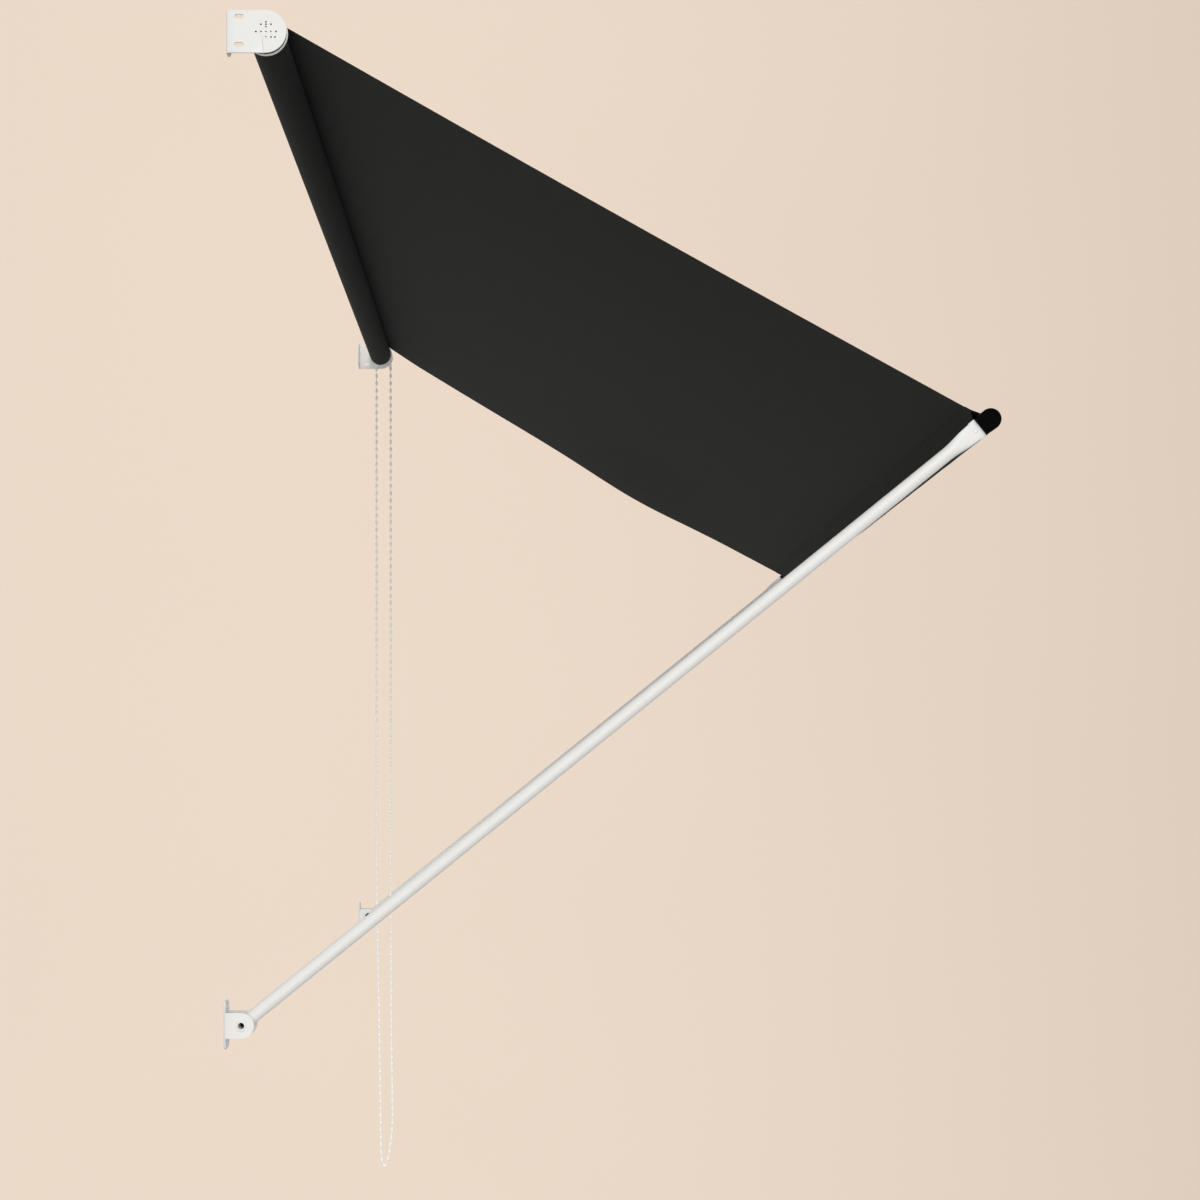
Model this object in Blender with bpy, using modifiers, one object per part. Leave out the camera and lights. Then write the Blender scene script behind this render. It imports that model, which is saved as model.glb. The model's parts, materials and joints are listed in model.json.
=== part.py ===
"""Drop-arm window awning: a cloth roller between two wall brackets, two hinged arms and a front bar.

+X runs along the width, the wall is the plane Y = 0 and the awning reaches out towards -Y.
Z = 0 is the height of the roller's axis.
"""

import math

import bmesh
import bpy
from mathutils import Matrix, Vector

# Driving dimensions, in metres.
WIDTH = 1.500                # over the outer faces of the two roller brackets
CLOTH_HALF = 0.730           # half the width of the cloth
GAP = 0.0003                 # between faces that touch

ROLLER_Y = -0.049
ROLL_RADIUS = 0.0232         # wound cloth
TUBE_RADIUS = 0.0190
TUBE_WALL = 0.0012
CLOTH = 0.0008               # the sheet's thickness

PIVOT_Y = -0.022
PIVOT_Z = -1.243
ARM_X = 0.75325              # mid-plane of an arm
ARM_LENGTH = 1.200           # from the pivot to the front bar's axis
ARM_RISE = math.radians(39.0)
ARM_RADIUS = 0.0085
ARM_WALL = 0.0012
ARM_END = 0.015              # from the arm's flattened end to the bar's axis

BAR_RADIUS = 0.0110
BAR_WALL = 0.0015
BAR_HALF = 0.7380
POCKET_INNER = 0.0114
POCKET_WALL = 0.0012
SEAM_BACK = 0.0229           # the hem's seam, from the bar's axis towards the roller
SEAM_UP = 0.0079             # and above the line between the two axes

BRACKET_SHEET = 0.0018
BRACKET_HALF = 0.0267        # half the height of a roller bracket
FLANGE_WIDTH = 0.028
FLANGE_CORNER = 0.020
SLOT_LENGTH = 0.0118
SLOT_WIDTH = 0.0058
WALL_SLOT_X = WIDTH / 2 - 0.0155
WALL_SLOT_Z = 0.0115
SIDE_SLOT_Y = -0.0165
SIDE_SLOT_Z = (0.0186, -0.0165)
SMALL_HOLE = 0.0012          # radius of the adjusting holes round the roller's axis
SMALL_HOLE_PITCH = 0.0063
SMALL_HOLE_ROWS = (           # height of each row, and its columns counted towards the front
    (0.0088, (-1, 0, 1)),
    (-0.0004, (-2, -1, 0, 1, 2)),
    (-0.0072, (0, 1, 1.8)),
    (0.0058, (0,)),
    (0.0118, (0,)),
)
GROOVE_TOP = 0.0050          # below the roller's axis
GROOVE_FRONT = 0.0019        # behind the axis, along the groove's steep side
GROOVE_BACK = 0.0070         # behind the axis, where the groove runs out at the lower edge
GROOVE_DEPTH = 0.0013
SIDE_INNER = WIDTH / 2 - BRACKET_SHEET

EAR_SHEET = 0.0020
EAR_OUTER = 0.7660           # outer face of an arm bracket's outer ear
EAR_INNER = 0.7405           # outer face of its inner ear
EAR_RADIUS = 0.0160
PLATE_HALF = 0.0303          # half the height of an arm bracket's back plate
SCREW_HOLE = 0.00325
SCREW_HOLE_Z = 0.0232

IDLE_FLANGE_RADIUS = 0.0275  # the plain end's white flange
IDLE_FLANGE = (-0.7438, -0.7414)
IDLE_DISC = (-0.7465, -0.7441)
END_DISC_RADIUS = 0.0262     # black disc at the plain end, housing disc at the chain end
PLUG_DEPTH = 0.7000          # how near the middle the plain end's plug reaches
DRIVE_FLANGE = (0.7308, 0.7328)
DRIVE_FLANGE_RADIUS = 0.0254
DRIVE_DEPTH = 0.7050
SHAFT_RADIUS = 0.0050
SHAFT_HOLE = 0.00535
IDLE_PIN_RADIUS = 0.0040
IDLE_PIN_HOLE = 0.00435
GUARD_START = 0.7332
TUBE_ENDS = (-0.7410, 0.7304)

PIN_RADIUS = 0.0052
PIN_BORE = 0.0041
PIN_HOLE = 0.0055
ARM_HOLE = 0.0063
PIN_HEAD = 0.0066
CAP_HEAD = 0.0072            # the cap's head, and the shank that fits the pin's bore
CAP_SHANK = 0.0037
CAP_REACH = 0.0090
BUSH_FLANGE = 0.0080
BUSH_SLEEVE = 0.0060
BUSH_BORE = 0.00545
BUSH_THICK = 0.0016
BUSH_DEPTH = 0.0045

ARM_TAIL = 0.0100            # the arm's round end, beyond the pivot
ARM_FLAT = 0.0031            # half the depth of the flattened end
ARM_LIP = 0.0129             # half the height of its lip
KNUCKLE_HEAD = 0.0134
KNUCKLE_NECK = 0.0122
KNUCKLE_INSIDE = -0.0120     # the knuckle's two faces, from the arm's mid-plane
KNUCKLE_OUTSIDE = 0.0075
TONGUE_HALF = (0.0014, 0.0095)
TONGUE_REACH = 0.0150
SPIGOT_RADIUS = 0.0040
SPIGOT_HOLE = 0.00435
SPIGOT_REACH = 0.0170
RIVET_BACK = 0.0075          # from the arm's flattened end
RIVET_RADIUS = 0.0016
RIVET_HOLE = 0.0019
RIVET_HEAD = 0.0034
BAR_PLUG_RADIUS = 0.0106
BAR_PLUG_THICK = 0.0021
BAR_PLUG_DEPTH = 0.0230

CHAIN_X = 0.7368
BEAD_RADIUS = 0.00325
BEAD_PITCH = 0.0162
SPROCKET_POCKETS = 6
SPROCKET_RADIUS = BEAD_PITCH * SPROCKET_POCKETS / (2 * math.pi)
SPROCKET_HALF = 0.0034
ROUND = 36                   # sides of the larger turned parts
SMALL_ROUND = 24
ARM_SIDES = 16
BEND_STEPS = 3

WHITE = ("white_paint", (0.83, 0.85, 0.84), 0.42, 0.0)
NYLON = ("white_plastic", (0.86, 0.86, 0.84), 0.5, 0.0)
BLACK = ("black_plastic", (0.008, 0.008, 0.008), 0.45, 0.0)
CLOTH_DARK = ("dark_cloth", (0.021, 0.021, 0.020), 0.9, 0.0)
ALUMINIUM = ("aluminium", (0.75, 0.76, 0.77), 0.35, 1.0)
STEEL = ("zinc_steel", (0.62, 0.63, 0.64), 0.38, 1.0)
CHAIN_WHITE = ("chain_white", (0.80, 0.79, 0.76), 0.4, 0.0)

for old in list(bpy.data.objects):
    bpy.data.objects.remove(old, do_unlink=True)

PARTS = bpy.data.collections.new("window_awning")
CUTTERS = bpy.data.collections.new("cutters")
bpy.context.scene.collection.children.link(PARTS)
bpy.context.scene.collection.children.link(CUTTERS)


def material(look):
    name, colour, roughness, metallic = look
    made = bpy.data.materials.get(name)
    if made is None:
        made = bpy.data.materials.new(name)
        made.use_nodes = True
        shader = made.node_tree.nodes["Principled BSDF"]
        shader.inputs["Base Color"].default_value = (*colour, 1.0)
        shader.inputs["Roughness"].default_value = roughness
        shader.inputs["Metallic"].default_value = metallic
        made.diffuse_color = (*colour, 1.0)
    return made


def place(name, mesh, look=None, location=(0, 0, 0), rotation=(0, 0, 0), parent=None):
    """A part with this mesh, or a cutter if it has no look."""
    obj = bpy.data.objects.new(name, mesh)
    obj.location = location
    obj.rotation_euler = rotation
    if look is None:
        CUTTERS.objects.link(obj)
        obj.hide_render = True
        obj.display_type = "WIRE"
    else:
        PARTS.objects.link(obj)
        mesh.materials.clear()
        mesh.materials.append(material(look))
        mesh.shade_smooth()
        mesh.set_sharp_from_angle(angle=math.radians(35))
    if parent is not None:
        obj.parent = parent
        obj.matrix_parent_inverse = parent.matrix_world.inverted()
    return obj


def axis_empty(name, location):
    """An empty on a joint's axis, which the pieces that turn about it are parented to."""
    empty = bpy.data.objects.new(name, None)
    empty.location = location
    empty.empty_display_size = 0.05
    PARTS.objects.link(empty)
    bpy.context.view_layer.update()
    return empty


def boolean(obj, other, operation):
    cut = obj.modifiers.new(f"{operation.lower()}_{other.name}", "BOOLEAN")
    cut.operation = operation
    cut.object = other
    cut.solver = "EXACT"


def mesh_from(work, name):
    bmesh.ops.recalc_face_normals(work, faces=work.faces)
    mesh = bpy.data.meshes.new(name)
    work.to_mesh(mesh)
    work.free()
    return mesh


def cylinder(name, radius, x0, x1, y=0.0, z=0.0, sides=SMALL_ROUND):
    """A cylinder along X."""
    work = bmesh.new()
    bmesh.ops.create_cone(
        work, cap_ends=True, segments=sides, radius1=radius, radius2=radius, depth=abs(x1 - x0)
    )
    turn = Matrix.Translation(((x0 + x1) / 2, y, z)) @ Matrix.Rotation(math.pi / 2, 4, "Y")
    bmesh.ops.transform(work, matrix=turn, verts=work.verts)
    return mesh_from(work, name)


def box(name, low, high):
    work = bmesh.new()
    bmesh.ops.create_cube(work, size=1.0)
    size = Vector(high) - Vector(low)
    middle = (Vector(high) + Vector(low)) / 2
    grow = Matrix.Translation(middle) @ Matrix.Diagonal((*size, 1.0))
    bmesh.ops.transform(work, matrix=grow, verts=work.verts)
    return mesh_from(work, name)


def turned(name, profile, look, location, sides=ROUND, parent=None):
    """A shape turned about X. The profile is a closed loop of (x, radius), or open from axis to axis."""
    outline = bpy.data.meshes.new(name)
    points = [(radius, 0.0, x) for x, radius in profile]
    on_axis = profile[0][1] == 0.0
    count = len(points)
    edges = [(i, i + 1) for i in range(count - 1)]
    if not on_axis:
        edges.append((count - 1, 0))
    outline.from_pydata(points, edges, [])
    obj = place(name, outline, look, location, (0, math.pi / 2, 0), parent)
    screw = obj.modifiers.new("turn", "SCREW")
    screw.axis = "Z"
    screw.angle = 2 * math.pi
    screw.steps = sides
    screw.render_steps = sides
    screw.use_merge_vertices = True
    screw.merge_threshold = 0.00001
    screw.use_smooth_shade = True
    return obj


def arc(centre, radius, start, end, steps):
    """Points on an arc, from one angle to another in degrees, both ends included."""
    made = []
    for step in range(steps + 1):
        angle = math.radians(start + (end - start) * step / steps)
        made.append((centre[0] + radius * math.cos(angle), centre[1] + radius * math.sin(angle)))
    return made


def slot_outline(centre, length, width, steps=6):
    """A slot that runs along the outline's first axis."""
    reach = (length - width) / 2
    u, v = centre
    return arc((u + reach, v), width / 2, -90, 90, steps) + arc((u - reach, v), width / 2, 90, 270, steps)


PLANES = {
    # What the outline's two axes and its thickness become in the world.
    "XY": Matrix(((1, 0, 0, 0), (0, 1, 0, 0), (0, 0, 1, 0), (0, 0, 0, 1))),
    "YZ": Matrix(((0, 0, 1, 0), (1, 0, 0, 0), (0, 1, 0, 0), (0, 0, 0, 1))),
    "XZ": Matrix(((1, 0, 0, 0), (0, 0, -1, 0), (0, 1, 0, 0), (0, 0, 0, 1))),
}


def flat(name, outlines, low, high, plane):
    """A mesh of flat outlines in the given plane, solid from low to high across it. Inner ones are holes."""
    curve = bpy.data.curves.new(name, "CURVE")
    curve.dimensions = "2D"
    curve.fill_mode = "BOTH"
    curve.extrude = abs(high - low) / 2
    for outline in outlines:
        spline = curve.splines.new("POLY")
        spline.points.add(len(outline) - 1)
        for point, (u, v) in zip(spline.points, outline):
            point.co = (u, v, 0.0, 1.0)
        spline.use_cyclic_u = True
    guide = bpy.data.objects.new(name + "_guide", curve)
    CUTTERS.objects.link(guide)
    bpy.context.view_layer.update()
    made = bpy.data.meshes.new_from_object(guide.evaluated_get(bpy.context.evaluated_depsgraph_get()))
    bpy.data.objects.remove(guide)
    bpy.data.curves.remove(curve)
    work = bmesh.new()
    work.from_mesh(made)
    bmesh.ops.remove_doubles(work, verts=work.verts, dist=0.000001)
    across = (low + high) / 2
    if plane == "XZ":
        across = -across
    bmesh.ops.transform(work, matrix=PLANES[plane] @ Matrix.Translation((0, 0, across)), verts=work.verts)
    bpy.data.meshes.remove(made)
    return mesh_from(work, name)


def mirrored(mesh, side):
    """The mesh itself for the +X side, or its mirror image for the -X side."""
    if side > 0:
        return mesh
    work = bmesh.new()
    work.from_mesh(mesh)
    bmesh.ops.transform(work, matrix=Matrix.Scale(-1, 4, (1, 0, 0)), verts=work.verts)
    return mesh_from(work, mesh.name)


def small_hole_places():
    """The adjusting holes round the roller's axis, row by row."""
    for height, columns in SMALL_HOLE_ROWS:
        for column in columns:
            yield ROLLER_Y - 0.0011 - column * SMALL_HOLE_PITCH, height


def groove_cutter(name):
    """A tapered groove in the outer face, steep at its front and running out towards the back."""
    face = WIDTH / 2
    bottom = -BRACKET_HALF - 0.001
    top_y = ROLLER_Y + (GROOVE_FRONT + GROOVE_BACK) / 2
    work = bmesh.new()
    corners = [
        (face + 0.001, top_y, -GROOVE_TOP),
        (face - GROOVE_DEPTH / 2, top_y - 0.0008, -GROOVE_TOP),
        (face + 0.001, top_y - 0.0012, -GROOVE_TOP),
        (face + 0.001, ROLLER_Y + GROOVE_BACK, bottom),
        (face - GROOVE_DEPTH, ROLLER_Y + GROOVE_FRONT, bottom),
        (face + 0.001, ROLLER_Y + GROOVE_FRONT - 0.0003, bottom),
    ]
    verts = [work.verts.new(corner) for corner in corners]
    for loop in ((0, 1, 2), (5, 4, 3), (0, 3, 4, 1), (1, 4, 5, 2), (2, 5, 3, 0)):
        work.faces.new([verts[i] for i in loop])
    return mesh_from(work, name)


def roller_bracket(side_name, side):
    """A folded sheet: a side plate with a round front, and a wall flange that turns inwards."""
    outer = WIDTH / 2
    inner = SIDE_INNER
    front = ROLLER_Y - BRACKET_HALF
    bend = 0.0030
    fold = (
        [(outer - FLANGE_WIDTH, 0.0)]
        + arc((outer - bend, -bend), bend, 90, 0, BEND_STEPS)
        + [(outer, front - 0.002), (inner, front - 0.002)]
        + arc((outer - bend, -bend), bend - BRACKET_SHEET, 0, 90, BEND_STEPS)
        + [(outer - FLANGE_WIDTH, -BRACKET_SHEET)]
    )
    name = f"{side_name}_roller_bracket"
    body = place(name, mirrored(flat(name, [fold], -0.03, 0.03, "XY"), side), WHITE)
    side_shape = [(0.002, -BRACKET_HALF)]
    side_shape += arc((ROLLER_Y, 0.0), BRACKET_HALF, 270, 90, 20)
    side_shape += [(0.002, BRACKET_HALF)]
    low, high = outer - FLANGE_WIDTH - 0.002, outer + 0.002
    shape = place(
        f"{name}_side_shape", mirrored(flat(name, [side_shape], low, high, "YZ"), side)
    )
    boolean(body, shape, "INTERSECT")
    edge = outer - FLANGE_WIDTH
    corner_x = edge + FLANGE_CORNER
    corner_z = BRACKET_HALF - FLANGE_CORNER
    wall_shape = [(outer + 0.002, -BRACKET_HALF - 0.001), (outer + 0.002, BRACKET_HALF + 0.001)]
    wall_shape += arc((corner_x, corner_z), FLANGE_CORNER + 0.00001, 90, 180, 6)
    wall_shape += arc((corner_x, -corner_z), FLANGE_CORNER + 0.00001, 180, 270, 6)
    wall = place(
        f"{name}_wall_shape", mirrored(flat(name, [wall_shape], front - 0.004, 0.002, "XZ"), side)
    )
    boolean(body, wall, "INTERSECT")
    cuts = [slot_outline((SIDE_SLOT_Y, z), SLOT_LENGTH, SLOT_WIDTH) for z in SIDE_SLOT_Z]
    cuts += [arc(place_yz, SMALL_HOLE, 0, 315, 7) for place_yz in small_hole_places()]
    side_cuts = place(
        f"{name}_side_holes", mirrored(flat(name, cuts, inner - 0.002, outer + 0.002, "YZ"), side)
    )
    boolean(body, side_cuts, "DIFFERENCE")
    slots = [slot_outline((WALL_SLOT_X, z), SLOT_LENGTH, SLOT_WIDTH) for z in (WALL_SLOT_Z, -WALL_SLOT_Z)]
    wall_cuts = place(
        f"{name}_wall_slots", mirrored(flat(name, slots, -BRACKET_SHEET - 0.002, 0.002, "XZ"), side)
    )
    boolean(body, wall_cuts, "DIFFERENCE")
    lead_in = place(f"{name}_lead_in", mirrored(groove_cutter(name), side))
    boolean(body, lead_in, "DIFFERENCE")
    return body


def arm_bracket(side_name, side):
    """A U folded from one sheet: a back plate on the wall and two round-ended ears."""
    bend = 0.0030
    tip = PIVOT_Y - EAR_RADIUS - 0.002
    inner_bend = bend - EAR_SHEET
    fold = (
        arc((EAR_OUTER - bend, -bend), bend, 90, 0, BEND_STEPS)
        + [(EAR_OUTER, tip), (EAR_OUTER - EAR_SHEET, tip)]
        + arc((EAR_OUTER - bend, -bend), inner_bend, 0, 90, BEND_STEPS)
        + arc((EAR_INNER + bend, -bend), inner_bend, 90, 180, BEND_STEPS)
        + [(EAR_INNER + EAR_SHEET, tip), (EAR_INNER, tip)]
        + arc((EAR_INNER + bend, -bend), bend, 180, 90, BEND_STEPS)
    )
    name = f"{side_name}_arm_bracket"
    low, high = PIVOT_Z - PLATE_HALF, PIVOT_Z + PLATE_HALF
    body = place(name, mirrored(flat(name, [fold], low, high, "XY"), side), WHITE)
    back = -EAR_SHEET - 0.0006
    ears = [(0.002, low - 0.001), (back, low - 0.001), (back, PIVOT_Z - EAR_RADIUS)]
    ears += arc((PIVOT_Y, PIVOT_Z), EAR_RADIUS, 270, 90, 16)
    ears += [(back, PIVOT_Z + EAR_RADIUS), (back, high + 0.001), (0.002, high + 0.001)]
    shape = place(
        f"{name}_ears", mirrored(flat(name, [ears], EAR_INNER - 0.002, EAR_OUTER + 0.002, "YZ"), side)
    )
    boolean(body, shape, "INTERSECT")
    round_x = 0.008
    mid = (EAR_INNER + EAR_OUTER) / 2
    reach = (EAR_OUTER - EAR_INNER) / 2 - round_x
    tall = PLATE_HALF - round_x
    tabs = []
    for x_way, z_way, start in ((1, 1, 0), (-1, 1, 90), (-1, -1, 180), (1, -1, 270)):
        centre = (mid + x_way * reach, PIVOT_Z + z_way * tall)
        tabs += arc(centre, round_x + 0.00001, start, start + 90, 4)
    rounding = place(
        f"{name}_tabs", mirrored(flat(name, [tabs], tip - 0.002, 0.002, "XZ"), side)
    )
    boolean(body, rounding, "INTERSECT")
    screw_holes = [
        arc((mid, PIVOT_Z + way * SCREW_HOLE_Z), SCREW_HOLE, 0, 342, 19) for way in (1, -1)
    ]
    cuts = place(
        f"{name}_screw_holes",
        mirrored(flat(name, screw_holes, -EAR_SHEET - 0.001, 0.002, "XZ"), side),
    )
    boolean(body, cuts, "DIFFERENCE")
    pivot = place(
        f"{name}_pivot_hole",
        mirrored(cylinder(name, PIN_HOLE, EAR_INNER - 0.002, EAR_OUTER + 0.002, PIVOT_Y, PIVOT_Z), side),
    )
    boolean(body, pivot, "DIFFERENCE")
    return body


def ring(x0, x1, inner, outer):
    """A closed turned profile: outer side first, then the bore."""
    return [(x1, outer), (x0, outer), (x0, inner), (x1, inner)]


def mirror_profile(profile, side):
    """The profile for the +X side, or its mirror image, still with its outer side first."""
    if side > 0:
        return profile
    return [(-x, radius) for x, radius in reversed(profile)]


def arm_section(along, half_width, half_depth, power, shrink):
    """A ring of points across the arm, from round to flattened as the power rises."""
    points = []
    for step in range(ARM_SIDES):
        angle = 2 * math.pi * step / ARM_SIDES
        c, s = math.cos(angle), math.sin(angle)
        x = (half_depth - shrink) * math.copysign(abs(c) ** (2 / power), c)
        y = (half_width - shrink) * math.copysign(abs(s) ** (2 / power), s)
        points.append(Vector((x, y, along)))
    return points


def arm_mesh(name):
    """A tube whose front end is pressed flat, with a wider lip at its mouth and a hole for the pivot."""
    end = ARM_LENGTH - ARM_END
    stations = [
        # Distance from the pivot, half height, half depth, and how square the section is.
        (-ARM_TAIL, ARM_RADIUS, ARM_RADIUS, 2.0),
        (end - 0.052, ARM_RADIUS, ARM_RADIUS, 2.0),
        (end - 0.043, 0.0090, 0.0079, 2.1),
        (end - 0.033, 0.0103, 0.0060, 2.4),
        (end - 0.024, 0.0114, 0.0043, 3.0),
        (end - 0.016, 0.0118, 0.0033, 3.6),
        (end - 0.0095, 0.0120, ARM_FLAT, 3.8),
        (end - 0.0080, ARM_LIP, ARM_FLAT, 3.8),
        (end, ARM_LIP, ARM_FLAT, 3.8),
    ]
    work = bmesh.new()
    shells = []
    for shrink in (0.0, ARM_WALL):
        rings = []
        for along, half_width, half_depth, power in stations:
            section = arm_section(along, half_width, half_depth, power, shrink)
            rings.append([work.verts.new(point) for point in section])
        shells.append(rings)
    outer, inner = shells
    for rings in shells:
        for first, second in zip(rings, rings[1:]):
            for i in range(ARM_SIDES):
                j = (i + 1) % ARM_SIDES
                work.faces.new((first[i], first[j], second[j], second[i]))
    for last in (0, -1):
        for i in range(ARM_SIDES):
            j = (i + 1) % ARM_SIDES
            work.faces.new((outer[last][i], outer[last][j], inner[last][j], inner[last][i]))
    return mesh_from(work, name)


def arm_parts(side_name, side, parent):
    """An arm with its flanged bushes, its front knuckle and the rivet that holds the knuckle."""
    pivot = (side * ARM_X, PIVOT_Y, PIVOT_Z)
    lean = (math.pi / 2 - ARM_RISE, 0, 0)
    arm = place(f"{side_name}_arm", arm_mesh(f"{side_name}_arm"), WHITE, pivot, lean, parent)
    hole = place(
        f"{side_name}_arm_hole", cylinder("arm_hole", ARM_HOLE, -0.012, 0.012), None, pivot
    )
    boolean(arm, hole, "DIFFERENCE")

    seat = ARM_RADIUS + GAP
    bush = [
        (seat + BUSH_THICK, BUSH_FLANGE),
        (seat, BUSH_FLANGE),
        (seat, BUSH_SLEEVE),
        (seat - BUSH_DEPTH, BUSH_SLEEVE),
        (seat - BUSH_DEPTH, BUSH_BORE),
        (seat + BUSH_THICK, BUSH_BORE),
    ]
    for place_name, way in (("outer", side), ("inner", -side)):
        turned(
            f"{side_name}_{place_name}_bush", mirror_profile(bush, way), NYLON, pivot, SMALL_ROUND, parent
        )

    end = ARM_LENGTH - ARM_END
    head_mesh = cylinder("knuckle", KNUCKLE_HEAD, side * KNUCKLE_INSIDE, side * KNUCKLE_OUTSIDE, sides=32)
    head_mesh.transform(Matrix.Translation((0, 0, ARM_LENGTH)))
    knuckle = place(f"{side_name}_knuckle", head_mesh, BLACK, pivot, lean, parent)
    low_x, high_x = sorted((side * (KNUCKLE_INSIDE + GAP), side * (KNUCKLE_OUTSIDE - GAP)))
    neck_block = box(
        "neck", (low_x, -KNUCKLE_NECK, end + GAP), (high_x, KNUCKLE_NECK, ARM_LENGTH)
    )
    thin, tall = TONGUE_HALF
    tongue = box("tongue", (-thin, -tall, end - TONGUE_REACH), (thin, tall, end + 0.004))
    spigot = cylinder(
        "spigot", SPIGOT_RADIUS, side * (KNUCKLE_INSIDE + 0.002), side * (KNUCKLE_INSIDE - SPIGOT_REACH)
    )
    spigot.transform(Matrix.Translation((0, 0, ARM_LENGTH)))
    for piece, mesh in (("neck", neck_block), ("tongue", tongue), ("spigot", spigot)):
        joined = place(f"{side_name}_knuckle_{piece}", mesh, None, pivot, lean)
        boolean(knuckle, joined, "UNION")

    rivet_at = end - RIVET_BACK
    rivet_hole = cylinder("rivet_hole", RIVET_HOLE, -0.02, 0.02, sides=12)
    rivet_hole.transform(Matrix.Translation((0, 0, rivet_at)))
    cutter = place(f"{side_name}_rivet_hole", rivet_hole, None, pivot, lean)
    boolean(arm, cutter, "DIFFERENCE")
    boolean(knuckle, cutter, "DIFFERENCE")
    seat = ARM_FLAT + GAP
    rivet = [
        (seat + 0.0012, 0.0),
        (seat + 0.0012, 0.0020),
        (seat + 0.0006, RIVET_HEAD),
        (seat, RIVET_HEAD),
        (seat, RIVET_RADIUS),
        (-ARM_FLAT + 0.0001, RIVET_RADIUS),
        (-ARM_FLAT + 0.0001, 0.0),
    ]
    rivet_obj = turned(
        f"{side_name}_knuckle_rivet", mirror_profile(rivet, -side), STEEL, pivot, 12, parent
    )
    direction = Vector((0, -math.cos(ARM_RISE), math.sin(ARM_RISE)))
    rivet_obj.location = Vector(pivot) + direction * rivet_at


def pivot_parts(side_name, side):
    """The tubular pivot pin with its head outside, and the cap that closes its inner end."""
    centre = (0, PIVOT_Y, PIVOT_Z)
    head = EAR_OUTER + GAP
    end = EAR_INNER - 0.0020
    pin = [
        (head + 0.0004, PIN_HEAD - 0.0006),
        (head, PIN_HEAD),
        (head, PIN_RADIUS),
        (end, PIN_RADIUS),
        (end, PIN_BORE),
        (head + 0.0012, PIN_BORE),
        (head + 0.0012, PIN_RADIUS),
    ]
    turned(f"{side_name}_pivot_pin", mirror_profile(pin, side), WHITE, centre, SMALL_ROUND)
    cap_x = end - GAP
    cap = [
        (EAR_INNER + CAP_REACH, 0.0),
        (EAR_INNER + CAP_REACH, CAP_SHANK),
        (cap_x, CAP_SHANK),
        (cap_x, CAP_HEAD),
        (cap_x - 0.0014, CAP_HEAD),
        (cap_x - 0.0024, CAP_HEAD - 0.0012),
        (cap_x - 0.0024, 0.0),
    ]
    turned(f"{side_name}_pivot_cap", mirror_profile(cap, side), BLACK, centre, SMALL_ROUND)


def idle_parts(parent):
    """The plain end of the roller: a fixed pin with a black disc, and the flanged plug that turns on it."""
    centre = (0, ROLLER_Y, 0)
    face = -SIDE_INNER + GAP
    tip = -PLUG_DEPTH - 0.0150
    pin = [
        (tip, 0.0),
        (tip, IDLE_PIN_RADIUS - 0.0006),
        (tip - 0.0006, IDLE_PIN_RADIUS),
        (face + 0.0011, IDLE_PIN_RADIUS),
        (face + 0.0011, 0.0090),
        (face, 0.0090),
        (face, 0.0),
    ]
    turned("idle_pin", pin, STEEL, centre, SMALL_ROUND)
    disc = [
        (IDLE_DISC[1], END_DISC_RADIUS - 0.0004),
        (IDLE_DISC[1] - 0.0004, END_DISC_RADIUS),
        (IDLE_DISC[0], END_DISC_RADIUS),
        (IDLE_DISC[0], IDLE_PIN_HOLE),
        (IDLE_DISC[1], IDLE_PIN_HOLE),
    ]
    turned("idle_disc", disc, BLACK, centre, ROUND)
    barrel = TUBE_RADIUS - TUBE_WALL - GAP
    plug = [
        (-PLUG_DEPTH, barrel),
        (IDLE_FLANGE[1], barrel),
        (IDLE_FLANGE[1], IDLE_FLANGE_RADIUS),
        (IDLE_FLANGE[0], IDLE_FLANGE_RADIUS),
        (IDLE_FLANGE[0], IDLE_PIN_HOLE),
        (-PLUG_DEPTH, IDLE_PIN_HOLE),
    ]
    turned("idle_end_plug", plug, NYLON, centre, ROUND, parent)


def sprocket_outline():
    """A wheel about the origin, with a round pocket in its rim for each bead."""
    points = []
    step = 360 / SPROCKET_POCKETS
    pocket_radius = BEAD_RADIUS + 0.0004
    rim = SPROCKET_RADIUS - 0.0006
    lip = 16
    for pocket in range(SPROCKET_POCKETS):
        middle = pocket * step
        angle = math.radians(middle)
        seat = (SPROCKET_RADIUS * math.cos(angle), SPROCKET_RADIUS * math.sin(angle))
        points += arc(seat, pocket_radius, middle - 105, middle - 255, 6)
        points += arc((0, 0), rim, middle + lip, middle + step - lip, 3)
    return points


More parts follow.
